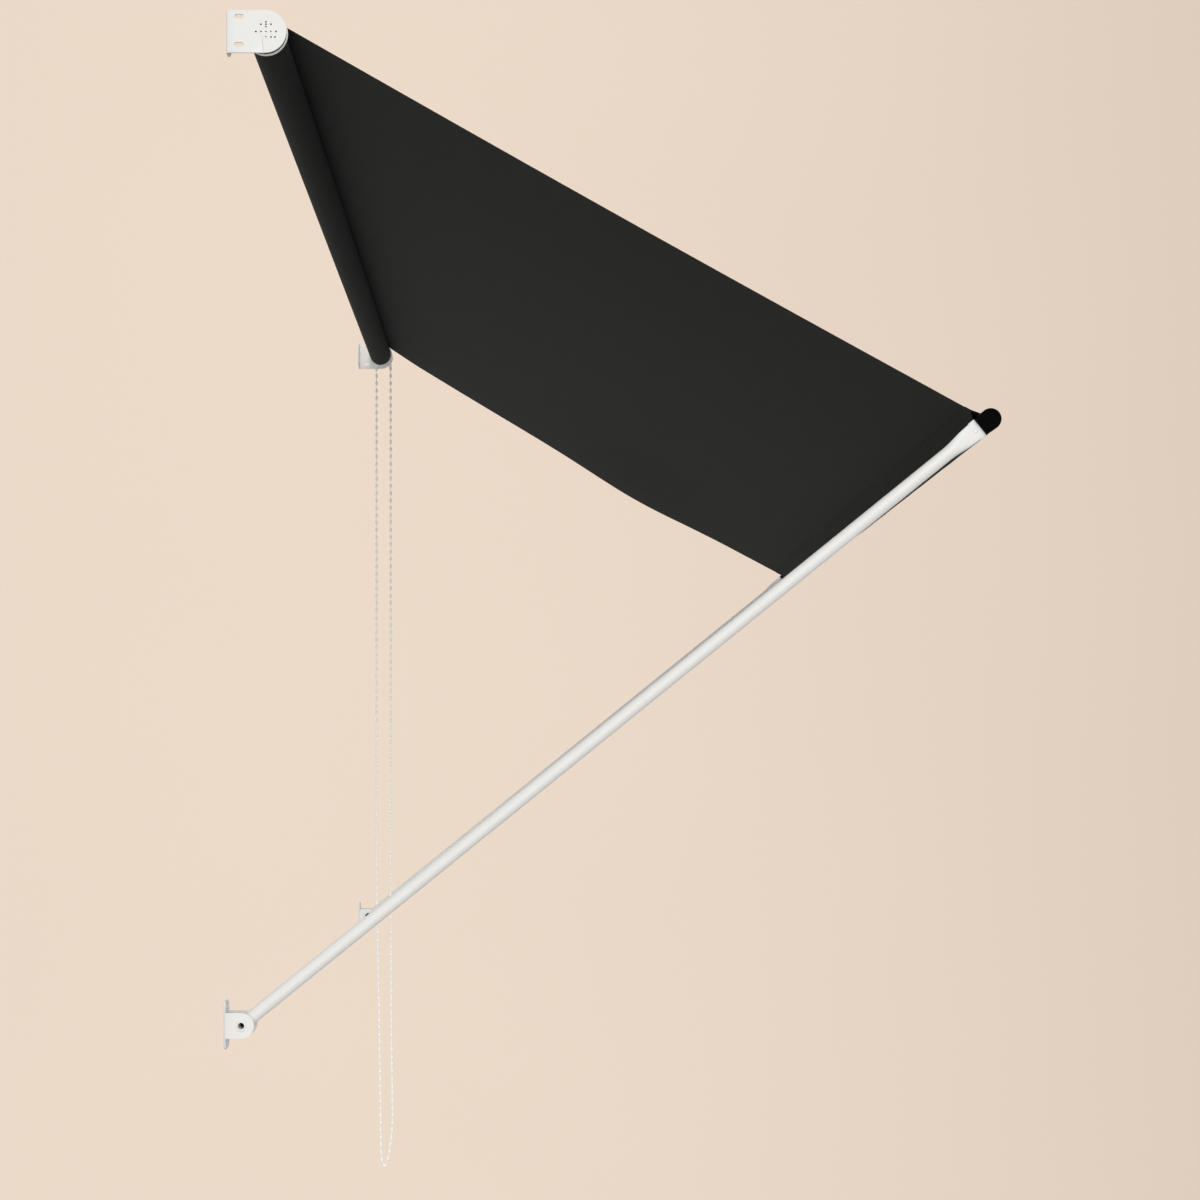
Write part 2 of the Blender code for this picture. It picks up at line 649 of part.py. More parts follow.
def drive_parts(parent):
    """The chain end of the roller: a fixed housing with its shaft and guard, the sprocket and the plug."""
    centre = (0, ROLLER_Y, 0)
    face = SIDE_INNER - GAP
    housing = turned(
        "clutch_housing",
        [
            (face, 0.0),
            (face, END_DISC_RADIUS),
            (face - 0.0020, END_DISC_RADIUS),
            (face - 0.0024, END_DISC_RADIUS - 0.0004),
            (face - 0.0024, SHAFT_RADIUS),
            (DRIVE_DEPTH + 0.0006, SHAFT_RADIUS),
            (DRIVE_DEPTH, SHAFT_RADIUS - 0.0006),
            (DRIVE_DEPTH, 0.0),
        ],
        NYLON,
        centre,
        ROUND,
    )
    guard_inner = SPROCKET_RADIUS + BEAD_RADIUS + GAP
    guard_outer = guard_inner + 0.0016
    guard = arc((ROLLER_Y, 0), guard_outer, -8, 188, 18) + arc((ROLLER_Y, 0), guard_inner, 188, -8, 18)
    guard_obj = place(
        "clutch_housing_guard", flat("guard", [guard], GUARD_START, face - 0.0012, "YZ")
    )
    boolean(housing, guard_obj, "UNION")

    place(
        "chain_sprocket",
        flat("chain_sprocket", [sprocket_outline(), arc((0, 0), SHAFT_HOLE, 0, 345, 23)],
             CHAIN_X - SPROCKET_HALF, CHAIN_X + SPROCKET_HALF, "YZ"),
        NYLON,
        centre,
        parent=parent,
    )

    barrel = TUBE_RADIUS - TUBE_WALL - GAP
    plug = [
        (DRIVE_FLANGE[1], DRIVE_FLANGE_RADIUS - 0.0004),
        (DRIVE_FLANGE[1] - 0.0004, DRIVE_FLANGE_RADIUS),
        (DRIVE_FLANGE[0], DRIVE_FLANGE_RADIUS),
        (DRIVE_FLANGE[0], barrel),
        (DRIVE_DEPTH, barrel),
        (DRIVE_DEPTH, SHAFT_HOLE),
        (DRIVE_FLANGE[1], SHAFT_HOLE),
    ]
    turned("drive_plug", plug, NYLON, centre, ROUND, parent)


def roller_parts(parent):
    centre = (0, ROLLER_Y, 0)
    turned(
        "roller_tube", ring(*TUBE_ENDS, TUBE_RADIUS - TUBE_WALL, TUBE_RADIUS), ALUMINIUM, centre,
        ROUND, parent,
    )
    turned(
        "cloth_roll", ring(-CLOTH_HALF, CLOTH_HALF, TUBE_RADIUS + GAP, ROLL_RADIUS), CLOTH_DARK, centre,
        ROUND, parent,
    )


def bar_axis():
    return Vector((PIVOT_Y - ARM_LENGTH * math.cos(ARM_RISE), PIVOT_Z + ARM_LENGTH * math.sin(ARM_RISE)))


def seam_point():
    """Where the hem pocket's two layers meet, from the front bar's axis, in (y, z)."""
    back = (Vector((ROLLER_Y, 0.0)) - bar_axis()).normalized()
    up = Vector((-back.y, back.x))
    return back * SEAM_BACK + up * SEAM_UP


def teardrop(radius, tip, centre):
    """A circle drawn out to a tip by its two tangents."""
    distance = tip.length
    heading = math.degrees(math.atan2(tip.y, tip.x))
    spread = math.degrees(math.acos(radius / distance))
    points = arc(centre, radius, heading + spread, heading + 360 - spread, 24)
    return points + [(centre[0] + tip.x, centre[1] + tip.y)]


def front_bar_parts(parent):
    axis = bar_axis()
    centre = (0, axis.x, axis.y)
    turned(
        "front_bar", ring(-BAR_HALF, BAR_HALF, BAR_RADIUS - BAR_WALL, BAR_RADIUS), ALUMINIUM, centre,
        ROUND, parent,
    )
    barrel = BAR_RADIUS - BAR_WALL - GAP
    for side_name, side in (("left", -1), ("right", 1)):
        plug = [
            (BAR_HALF + BAR_PLUG_THICK, BAR_PLUG_RADIUS),
            (BAR_HALF + GAP, BAR_PLUG_RADIUS),
            (BAR_HALF + GAP, barrel),
            (BAR_HALF - BAR_PLUG_DEPTH, barrel),
            (BAR_HALF - BAR_PLUG_DEPTH, SPIGOT_HOLE),
            (BAR_HALF + BAR_PLUG_THICK, SPIGOT_HOLE),
        ]
        turned(f"{side_name}_bar_plug", mirror_profile(plug, side), BLACK, centre, SMALL_ROUND, parent)
    tip = seam_point()
    outer = teardrop(POCKET_INNER + POCKET_WALL, tip, (0.0, 0.0))
    inner_tip = tip * ((tip.length - 2.2 * POCKET_WALL) / tip.length)
    inner = teardrop(POCKET_INNER, inner_tip, (0.0, 0.0))
    place(
        "hem_pocket", flat("hem_pocket", [outer, inner], -CLOTH_HALF, CLOTH_HALF, "YZ"), CLOTH_DARK,
        centre, parent=parent,
    )


def canopy(parent):
    """The stretched sheet, from where it leaves the top of the roll to the hem's seam."""
    seam = bar_axis() + seam_point()
    centre = Vector((ROLLER_Y, 0.0))
    middle_radius = ROLL_RADIUS + GAP + CLOTH / 2
    to_seam = seam - centre
    heading = math.atan2(to_seam.y, to_seam.x)
    spread = math.acos(middle_radius / to_seam.length)
    leave = centre + middle_radius * Vector((math.cos(heading - spread), math.sin(heading - spread)))
    along = (seam - leave).normalized()
    out = Vector((-along.y, along.x)) * (CLOTH / 2)
    stop = seam - along * 2 * GAP
    outline = [leave + out, stop + out, stop - out, leave - out]
    mesh = flat("canopy_cloth", [[(p.x, p.y) for p in outline]], -CLOTH_HALF, CLOTH_HALF, "YZ")
    mesh.transform(Matrix.Translation((0, -ROLLER_Y, 0)))
    place("canopy_cloth", mesh, CLOTH_DARK, (0, ROLLER_Y, 0), parent=parent)


CHAIN_ROUTE = [
    # (y, z) down the outer strand, round the bottom and up the inner strand.
    (-0.0708, -0.0300),
    (-0.0710, -0.1500),
    (-0.0711, -0.4500),
    (-0.0711, -0.9000),
    (-0.0715, -1.3000),
    (-0.0727, -1.5000),
    (-0.0741, -1.6060),
    (-0.0747, -1.6800),
    (-0.0735, -1.7225),
    (-0.0700, -1.7495),
    (-0.0665, -1.7705),
    (-0.0622, -1.7880),
    (-0.0567, -1.7945),
    (-0.0522, -1.7875),
    (-0.0500, -1.7695),
    (-0.0491, -1.7445),
    (-0.0487, -1.6950),
    (-0.0476, -1.6040),
    (-0.0458, -1.5120),
    (-0.0434, -1.3500),
    (-0.0411, -1.2200),
    (-0.0400, -1.0500),
    (-0.0397, -0.7500),
    (-0.0396, -0.4500),
    (-0.0396, -0.1500),
    (-0.0396, -0.0300),
]


def smooth_route(route, count):
    """Points spaced evenly along a smooth curve through the route, closer where it bends."""
    fine = []
    last = len(route) - 1
    for i in range(last):
        before, start = Vector(route[max(i - 1, 0)]), Vector(route[i])
        stop, after = Vector(route[i + 1]), Vector(route[min(i + 2, last)])
        span = (stop - start).length
        lead = (stop - before).normalized() * span
        trail = (after - start).normalized() * span
        for step in range(40):
            t = step / 40
            fine.append(
                start * (2 * t**3 - 3 * t**2 + 1)
                + lead * (t**3 - 2 * t**2 + t)
                + stop * (3 * t**2 - 2 * t**3)
                + trail * (t**3 - t**2)
            )
    fine.append(Vector(route[-1]))
    weights = [0.0]
    bottom = min(point.y for point in fine)
    for first, second in zip(fine, fine[1:]):
        near = 1.0 + 9.0 * math.exp(-((second.y - bottom) / 0.12) ** 2)
        weights.append(weights[-1] + (second - first).length * near)
    made = []
    for k in range(count):
        target = weights[-1] * k / (count - 1)
        j = next(index for index, value in enumerate(weights) if value >= target - 1e-9)
        made.append(fine[j])
    return made


def bead_chain():
    """The drive chain's hanging loop, as a plain tube of the beads' diameter."""
    points = smooth_route(CHAIN_ROUTE, 66)
    curve = bpy.data.curves.new("bead_chain", "CURVE")
    curve.dimensions = "3D"
    curve.bevel_depth = BEAD_RADIUS
    curve.bevel_resolution = 2
    curve.use_fill_caps = True
    spline = curve.splines.new("POLY")
    spline.points.add(len(points) - 1)
    for slot, point in zip(spline.points, points):
        slot.co = (CHAIN_X, point.x, point.y, 1.0)
    curve.materials.append(material(CHAIN_WHITE))
    PARTS.objects.link(bpy.data.objects.new("bead_chain", curve))


def main():
    for side_name, side in (("left", -1), ("right", 1)):
        roller_bracket(side_name, side)
        arm_bracket(side_name, side)
        pivot_parts(side_name, side)
    roller_axis = axis_empty("roller_axis", (0, ROLLER_Y, 0))
    arm_axis = axis_empty("arm_axis", (0, PIVOT_Y, PIVOT_Z))
    axis = bar_axis()
    front_axis = axis_empty("front_bar_axis", (0, axis.x, axis.y))
    roller_parts(roller_axis)
    idle_parts(roller_axis)
    drive_parts(roller_axis)
    for side_name, side in (("left", -1), ("right", 1)):
        arm_parts(side_name, side, arm_axis)
    front_bar_parts(front_axis)
    canopy(roller_axis)
    bead_chain()


main()
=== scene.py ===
"""Drop-arm window awning: its visible pieces, materials and stage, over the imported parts."""

import json
import math

import bmesh
import bpy
from mathutils import Matrix, Vector

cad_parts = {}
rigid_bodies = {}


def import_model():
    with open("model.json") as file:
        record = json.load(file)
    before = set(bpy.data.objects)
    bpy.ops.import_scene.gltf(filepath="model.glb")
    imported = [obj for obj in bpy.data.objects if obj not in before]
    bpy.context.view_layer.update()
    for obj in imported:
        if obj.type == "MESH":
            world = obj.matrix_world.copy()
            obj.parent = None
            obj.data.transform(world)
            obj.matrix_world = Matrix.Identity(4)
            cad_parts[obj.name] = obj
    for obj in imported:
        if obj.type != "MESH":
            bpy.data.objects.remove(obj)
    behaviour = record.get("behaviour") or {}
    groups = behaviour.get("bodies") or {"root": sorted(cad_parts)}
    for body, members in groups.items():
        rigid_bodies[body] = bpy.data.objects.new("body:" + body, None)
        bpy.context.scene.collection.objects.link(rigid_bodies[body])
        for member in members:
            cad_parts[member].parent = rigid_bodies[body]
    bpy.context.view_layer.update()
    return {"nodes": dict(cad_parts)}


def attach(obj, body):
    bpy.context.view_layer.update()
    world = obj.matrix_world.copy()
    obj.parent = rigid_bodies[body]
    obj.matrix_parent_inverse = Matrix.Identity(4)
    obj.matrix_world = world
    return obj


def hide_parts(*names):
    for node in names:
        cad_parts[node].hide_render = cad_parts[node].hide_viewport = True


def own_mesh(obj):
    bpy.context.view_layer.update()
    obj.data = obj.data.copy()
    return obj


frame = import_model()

bl_info = {
    "name": "Window awning",
    "version": (1, 0, 0),
    "blender": (4, 5, 0),
    "location": "View3D > Sidebar > Awning",
    "description": "Builds a drop-arm window awning: cloth, roller, brackets, arms and bead chain",
    "category": "Object",
}

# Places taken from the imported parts, in metres.
CLOTH_HALF = 0.730
ROLLER = Vector((-0.049, 0.0))
PIVOT = Vector((-0.022, -1.243))
ARM_LENGTH = 1.200
ARM_RISE = math.radians(39.0)
ARM_X = 0.75325
CHAIN_X = 0.7368
ROLL_RADIUS = 0.0232
TUBE_RADIUS = 0.0190
SHEET_RADIUS = 0.0239
POCKET_INNER = 0.0114
SEAM_BACK = 0.0229
SEAM_UP = 0.0079
ARM_WALL = 0.0012
ARM_SIDES = 56
ARM_EDGE = 0.00035           # the rounding of the arm's cut ends
ARM_HOLE = 0.0063
RIVET_AT = 1.1775            # along the arm, from the pivot
RIVET_HOLE = 0.0019
PIN_HEAD_X = 0.7663          # under the pivot pin's head, and at the pin's inner end
PIN_END_X = 0.7385
FAR_DIP_AT = 0.635           # where the far edge dips, as a share of the sheet's length
FAR_DIP_WIDTH = 0.15

# The stage.
CAMERA_PLACE = (-2.683, -0.382, -0.9335)
CAMERA_LENS = 46.32
CAMERA_SHIFT = (0.0575, 0.1473)
FLOOR_HEIGHT = -6.2
FLOOR_RADIUS = 7.0
FLOOR_BEND = 2.0


def turned_about(point, centre, angle):
    """The point (y, z) raised about the centre by an angle, the way the arms are raised."""
    c, s = math.cos(-angle), math.sin(-angle)
    y, z = point - centre
    return centre + Vector((c * y - s * z, s * y + c * z))


BAR = PIVOT + ARM_LENGTH * Vector((-math.cos(ARM_RISE), math.sin(ARM_RISE)))
BACK = (ROLLER - BAR).normalized()
SEAM = BAR + BACK * SEAM_BACK + Vector((-BACK.y, BACK.x)) * SEAM_UP
TO_SEAM = SEAM - ROLLER
LEAVE_ANGLE = math.atan2(TO_SEAM.y, TO_SEAM.x) - math.acos(SHEET_RADIUS / TO_SEAM.length)
LEAVE = ROLLER + SHEET_RADIUS * Vector((math.cos(LEAVE_ANGLE), math.sin(LEAVE_ANGLE)))


# ---------------------------------------------------------------- meshes


def mesh_from(work, name):
    mesh = bpy.data.meshes.new(name)
    work.to_mesh(mesh)
    work.free()
    return mesh


def piece(name, mesh, material, body, replaced=(), sharp=35.0):
    """A finished piece that rides on a body of the awning."""
    obj = bpy.data.objects.new(name, mesh)
    bpy.context.scene.collection.objects.link(obj)
    mesh.materials.clear()
    mesh.materials.append(material)
    mesh.shade_smooth()
    mesh.set_sharp_from_angle(angle=math.radians(sharp))
    if replaced:
        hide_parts(*replaced)
    if body:
        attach(obj, body)
    return obj


def rounded(points, radius, steps=3):
    """A closed outline with rounded corners. A point's third number is a radius of its own."""
    made = []
    count = len(points)
    for i, point in enumerate(points):
        here = Vector(point[:2])
        before = Vector(points[i - 1][:2]) - here
        after = Vector(points[(i + 1) % count][:2]) - here
        wanted = point[2] if len(point) > 2 else radius
        reach = min(wanted, before.length * 0.45, after.length * 0.45)
        if reach < 1e-6:
            made.append(here)
            continue
        start = here + before.normalized() * reach
        stop = here + after.normalized() * reach
        for step in range(steps + 1):
            t = step / steps
            made.append(start * (1 - t) ** 2 + here * 2 * t * (1 - t) + stop * t**2)
    return made


def lathe(name, profile, centre, sides=72):
    """A closed profile of (x, radius) turned about the X axis through the centre (y, z)."""
    work = bmesh.new()
    rings = []
    for x, radius in profile:
        if radius < 1e-6:
            rings.append([work.verts.new((x, centre.x, centre.y))] * sides)
            continue
        ring = []
        for i in range(sides):
            angle = 2 * math.pi * i / sides
            ring.append(
                work.verts.new(
                    (x, centre.x + radius * math.cos(angle), centre.y + radius * math.sin(angle))
                )
            )
        rings.append(ring)
    for a in range(len(rings)):
        first, second = rings[a], rings[(a + 1) % len(rings)]
        for i in range(sides):
            j = (i + 1) % sides
            corners = []
            for vertex in (first[i], second[i], second[j], first[j]):
                if vertex not in corners:
                    corners.append(vertex)
            if len(corners) > 2:
                work.faces.new(corners)
    bmesh.ops.recalc_face_normals(work, faces=work.faces)
    return mesh_from(work, name)


def softened(name, node, material, body, width, segments=2):
    """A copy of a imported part's sheet metal or casting with its edges broken."""
    work = bmesh.new()
    work.from_mesh(frame["nodes"][node].data)
    bmesh.ops.remove_doubles(work, verts=work.verts, dist=2e-6)
    bmesh.ops.dissolve_limit(
        work, angle_limit=math.radians(1.0), verts=work.verts, edges=work.edges
    )
    for layer in list(work.loops.layers.uv):
        work.loops.layers.uv.remove(layer)
    mesh = mesh_from(work, name)
    if "custom_normal" in mesh.attributes:
        mesh.attributes.remove(mesh.attributes["custom_normal"])
    obj = piece(name, mesh, material, None, [node])
    edge = obj.modifiers.new("broken edges", "BEVEL")
    edge.width = width
    edge.segments = segments
    edge.limit_method = "ANGLE"
    edge.angle_limit = math.radians(32)
    edge.use_clamp_overlap = True
    edge.harden_normals = True
    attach(obj, body)
    return obj


def ribbon(name, path, half, thickness, columns, offset=None):
    """A cloth strip with a wall: a path of (y, z) swept across the width. UV is in metres.

    offset(x, share, point) gives how far a place is moved in (y, z)."""
    work = bmesh.new()
    uv = work.loops.layers.uv.new("cloth")
    xs = [x * half for x in columns]
    run = [0.0]
    for a, b in zip(path, path[1:]):
        run.append(run[-1] + (b - a).length)
    sides = []
    for side in (0.5, -0.5):
        rows = []
        for i, point in enumerate(path):
            along = (path[min(i + 1, len(path) - 1)] - path[max(i - 1, 0)]).normalized()
            out = Vector((-along.y, along.x)) * (thickness * side)
            row = []
            for x in xs:
                moved = point + out
                if offset:
                    moved = moved + offset(x, run[i] / run[-1], point)
                row.append(work.verts.new((x, moved.x, moved.y)))
            rows.append(row)
        sides.append(rows)

    def face(corners, places):
        made = work.faces.new(corners)
        for loop, place in zip(made.loops, places):
            loop[uv].uv = place

    last_row, last_col = len(path) - 1, len(xs) - 1
    for which, rows in enumerate(sides):
        for i in range(last_row):
            for j in range(last_col):
                corners = [rows[i][j], rows[i][j + 1], rows[i + 1][j + 1], rows[i + 1][j]]
                places = [
                    (xs[j], run[i]),
                    (xs[j + 1], run[i]),
                    (xs[j + 1], run[i + 1]),
                    (xs[j], run[i + 1]),
                ]
                if which:
                    corners.reverse()
                    places.reverse()
                face(corners, places)
    top, bottom = sides
    for j in (0, last_col):
        for i in range(last_row):
            corners = [top[i][j], top[i + 1][j], bottom[i + 1][j], bottom[i][j]]
            edge = xs[j] + (thickness if j else -thickness)
            places = [(xs[j], run[i]), (xs[j], run[i + 1]), (edge, run[i + 1]), (edge, run[i])]
            if j:
                corners.reverse()
                places.reverse()
            face(corners, places)
    for i in (0, last_row):
        for j in range(last_col):
            corners = [top[i][j + 1], top[i][j], bottom[i][j], bottom[i][j + 1]]
            edge = run[i] + (thickness if i else -thickness)
            places = [(xs[j + 1], run[i]), (xs[j], run[i]), (xs[j], edge), (xs[j + 1], edge)]
            if i:
                corners.reverse()
                places.reverse()
            face(corners, places)
    bmesh.ops.recalc_face_normals(work, faces=work.faces)
    return mesh_from(work, name)


def smooth_route(route, spacing):
    """Points at an even spacing along a smooth curve through the route."""
    fine = []
    last = len(route) - 1
    for i in range(last):
        before, start = Vector(route[max(i - 1, 0)]), Vector(route[i])
        stop, after = Vector(route[i + 1]), Vector(route[min(i + 2, last)])
        span = (stop - start).length
        lead = (stop - before).normalized() * span
        trail = (after - start).normalized() * span
        for step in range(60):
            t = step / 60
            fine.append(
                start * (2 * t**3 - 3 * t**2 + 1)
                + lead * (t**3 - 2 * t**2 + t)
                + stop * (3 * t**2 - 2 * t**3)
                + trail * (t**3 - t**2)
            )
    fine.append(Vector(route[-1]))
    total = sum((b - a).length for a, b in zip(fine, fine[1:]))
    count = max(2, round(total / spacing))
    made, gone, j = [fine[0]], 0.0, 0
    for k in range(1, count):
        target = total * k / count
        while gone + (fine[j + 1] - fine[j]).length < target:
            gone += (fine[j + 1] - fine[j]).length
            j += 1
        step = (fine[j + 1] - fine[j]).length
        made.append(fine[j].lerp(fine[j + 1], (target - gone) / step))
    made.append(fine[-1])
    return made, total


# ---------------------------------------------------------------- repeated shapes along a path


def along_path_tree(name, material, segments, rings, linked):
    """A node tree that sets rounded shapes along a path, with thin links between if asked."""
    tree = bpy.data.node_groups.new(name, "GeometryNodeTree")
    add = tree.nodes.new
    link = tree.links.new
    socket = tree.interface.new_socket
    socket("Path", in_out="INPUT", socket_type="NodeSocketGeometry")
    names = ["Spacing", "Shape width", "Shape height", "Shape length"]
    if linked:
        names.append("Link radius")
    made = {}
    for label in names:
        made[label] = socket(label, in_out="INPUT", socket_type="NodeSocketFloat").identifier
    socket("Result", in_out="OUTPUT", socket_type="NodeSocketGeometry")
    inputs, outputs = add("NodeGroupInput"), add("NodeGroupOutput")
    to_curve = add("GeometryNodeMeshToCurve")
    link(inputs.outputs["Path"], to_curve.inputs[0])
    even = add("GeometryNodeResampleCurve")
    even.mode = "LENGTH"
    link(to_curve.outputs[0], even.inputs["Curve"])
    link(inputs.outputs["Spacing"], even.inputs["Length"])
    ball = add("GeometryNodeMeshUVSphere")
    ball.inputs["Segments"].default_value = segments
    ball.inputs["Rings"].default_value = rings
    ball.inputs["Radius"].default_value = 0.5
    size = add("ShaderNodeCombineXYZ")
    link(inputs.outputs["Shape width"], size.inputs[0])
    link(inputs.outputs["Shape height"], size.inputs[1])
    link(inputs.outputs["Shape length"], size.inputs[2])
    tangent = add("GeometryNodeInputTangent")
    first = add("FunctionNodeAlignRotationToVector")
    first.axis = "Z"
    link(tangent.outputs[0], first.inputs["Vector"])
    copies = add("GeometryNodeInstanceOnPoints")
    link(even.outputs[0], copies.inputs["Points"])
    link(ball.outputs["Mesh"], copies.inputs["Instance"])
    link(first.outputs[0], copies.inputs["Rotation"])
    link(size.outputs[0], copies.inputs["Scale"])
    joined = add("GeometryNodeJoinGeometry")
    link(copies.outputs[0], joined.inputs[0])
    if linked:
        ring = add("GeometryNodeCurvePrimitiveCircle")
        ring.inputs["Resolution"].default_value = 6
        link(inputs.outputs["Link radius"], ring.inputs["Radius"])
        tube = add("GeometryNodeCurveToMesh")
        tube.inputs["Fill Caps"].default_value = True
        link(even.outputs[0], tube.inputs["Curve"])
        link(ring.outputs[0], tube.inputs["Profile Curve"])
        link(tube.outputs[0], joined.inputs[0])
    real = add("GeometryNodeRealizeInstances")
    link(joined.outputs[0], real.inputs[0])
    finish = add("GeometryNodeSetMaterial")
    finish.inputs["Material"].default_value = material
    link(real.outputs[0], finish.inputs[0])
    link(finish.outputs[0], outputs.inputs[0])
    return tree, made


def along_paths(name, paths, tree, made, sizes):
    """The tree's result along these paths of (x, y, z), as one plain mesh."""
    work = bmesh.new()
    for path in paths:
        verts = [work.verts.new(point) for point in path]
        for a, b in zip(verts, verts[1:]):
            work.edges.new((a, b))
    guide = bpy.data.objects.new(name + "_guide", mesh_from(work, name + "_guide"))
    bpy.context.scene.collection.objects.link(guide)
    modifier = guide.modifiers.new("along path", "NODES")
    modifier.node_group = tree
    for label, value in sizes.items():
        modifier[made[label]] = value
    guide.update_tag()
    graph = bpy.context.evaluated_depsgraph_get()
    mesh = bpy.data.meshes.new_from_object(guide.evaluated_get(graph))
    mesh.name = name
    bpy.data.objects.remove(guide)
    return mesh


# ---------------------------------------------------------------- materials


class Finish:
    """A material under construction."""

    def __init__(self, name, roughness, metallic=0.0, **sockets):
        self.material = bpy.data.materials.new(name)
        self.material.use_nodes = True
        self.tree = self.material.node_tree
        self.shader = self.tree.nodes["Principled BSDF"]
        self.shader.inputs["Roughness"].default_value = roughness
        self.shader.inputs["Metallic"].default_value = metallic
        for label, value in sockets.items():
            self.shader.inputs[label].default_value = value

    def add(self, kind, inputs=None, **settings):
        node = self.tree.nodes.new("ShaderNode" + kind)
        for key, value in settings.items():
            setattr(node, key, value)
        for key, value in (inputs or {}).items():
            if isinstance(value, bpy.types.NodeSocket):
                self.tree.links.new(value, node.inputs[key])
            else:
                node.inputs[key].default_value = value
        return node

    def math(self, operation, a, b=0.0):
        return self.add("Math", {0: a, 1: b}, operation=operation).outputs[0]

    def noise(self, scale, detail=2.0, vector=None, roughness=0.5):
        """Noise over the piece's own place, in waves per metre."""
        if vector is None:
            vector = self.add("TexCoord").outputs["Object"]
        inputs = {"Vector": vector, "Scale": scale, "Detail": detail, "Roughness": roughness}
        return self.add("TexNoise", inputs).outputs["Fac"]

    def between(self, fac, low, high):
        inputs = {"Value": fac, "To Min": low, "To Max": high}
        return self.add("MapRange", inputs).outputs["Result"]

    def tint(self, fac, dark, light):
        node = self.add("Mix", data_type="RGBA")
        self.tree.links.new(fac, node.inputs["Factor"])
        node.inputs["A"].default_value = (*dark, 1.0)
        node.inputs["B"].default_value = (*light, 1.0)
        return node.outputs["Result"]

    def set(self, label, socket):
        self.tree.links.new(socket, self.shader.inputs[label])

    def bump(self, height, distance, strength=1.0):
        node = self.add("Bump", {"Height": height, "Distance": distance, "Strength": strength})
        self.set("Normal", node.outputs["Normal"])


def shades(colour, spread):
    dark = [max(0.0, c * (1 - spread)) for c in colour]
    light = [min(1.0, c * (1 + spread)) for c in colour]
    return dark, light


def enamel(name, colour, roughness=0.38):
    """Powder-coated steel: a faint orange peel, slightly uneven gloss and a little dust."""
    f = Finish(name, roughness)
    dark, light = shades(colour, 0.025)
    clouds = f.noise(9.0, 3.0)
    f.set("Base Color", f.tint(f.between(clouds, 0.2, 0.8), dark, light))
    f.set("Roughness", f.between(f.noise(60.0, 3.0), roughness - 0.05, roughness + 0.07))
    f.bump(f.noise(650.0, 2.0), 0.00006, 0.5)
    return f.material


def moulded(name, colour, roughness, spread=0.04, grain=900.0, depth=0.00005, **sockets):
    """Injection-moulded plastic with a fine spark-eroded grain."""
    f = Finish(name, roughness, **sockets)
    dark, light = shades(colour, spread)
    f.set("Base Color", f.tint(f.noise(35.0, 3.0), dark, light))
    f.set("Roughness", f.between(f.noise(120.0, 2.0), roughness - 0.06, roughness + 0.08))
    f.bump(f.noise(grain, 3.0), depth, 0.7)
    return f.material


def drawn_metal(name, colour, roughness):
    """Metal with fine lines along the width, as a drawn tube or a turned pin has."""
    f = Finish(name, roughness, 1.0)
    place = f.add("TexCoord").outputs["Object"]
    lines = f.add("Mapping", {"Vector": place, "Scale": (0.02, 1.0, 1.0)}).outputs["Vector"]
    streaks = f.noise(1400.0, 2.0, lines)
    dark, light = shades(colour, 0.06)
    f.set("Base Color", f.tint(f.noise(40.0, 2.0), dark, light))
    f.set("Roughness", f.between(streaks, roughness - 0.1, roughness + 0.1))
    f.bump(streaks, 0.00002, 0.5)
    return f.material


def woven(name, colour, thread, roughness=0.85):
    """Tightly woven yarn: threads go over and under each other, with slubs, a faint lint haze and painted
    shade in the hollows between the threads.
    """
    sheen = {"Sheen Weight": 0.04, "Sheen Roughness": 0.5, "Specular IOR Level": 0.2}
    f = Finish(name, roughness, **sheen)
    place = f.add("UVMap", uv_map="cloth").outputs["UV"]
    split = f.add("SeparateXYZ", {"Vector": place})
    waves = []
    for axis in (0, 1):
        turns = f.math("MULTIPLY", split.outputs[axis], math.pi / thread)
        waves.append(f.math("SINE", turns))
    over = f.math("GREATER_THAN", f.math("MULTIPLY", waves[0], waves[1]), 0.0)
    warp, weft = (f.math("ABSOLUTE", wave) for wave in waves)
    pick = f.add("Mix", data_type="FLOAT")
    f.tree.links.new(over, pick.inputs["Factor"])
    f.tree.links.new(warp, pick.inputs[2])
    f.tree.links.new(weft, pick.inputs[3])
    height = pick.outputs[0]
    stretched = f.add("Mapping", {"Vector": place, "Scale": (1.0, 0.08, 1.0)}).outputs["Vector"]
    slubs = f.noise(260.0, 2.0, stretched)
    clouds = f.noise(5.0, 3.0, place)
    dark, light = shades(colour, 0.16)
    # The colour is darker where the threads dip: painted shade in the hollows of the weave, mixed with the
    # yarn's real slubs and lint haze.
    hollow_shade_and_yarn_tone = f.math("ADD", f.math("MULTIPLY", height, 0.45), f.math("MULTIPLY", slubs, 0.35))
    hollow_shade_and_yarn_tone = f.math("ADD", hollow_shade_and_yarn_tone, f.math("MULTIPLY", clouds, 0.25))
    f.set("Base Color", f.tint(hollow_shade_and_yarn_tone, dark, light))
    f.set("Roughness", f.between(slubs, roughness - 0.05, roughness + 0.07))
    f.bump(f.math("ADD", height, f.math("MULTIPLY", slubs, 0.4)), 0.00015, 0.6)
    return f.material


FINISHES = {}


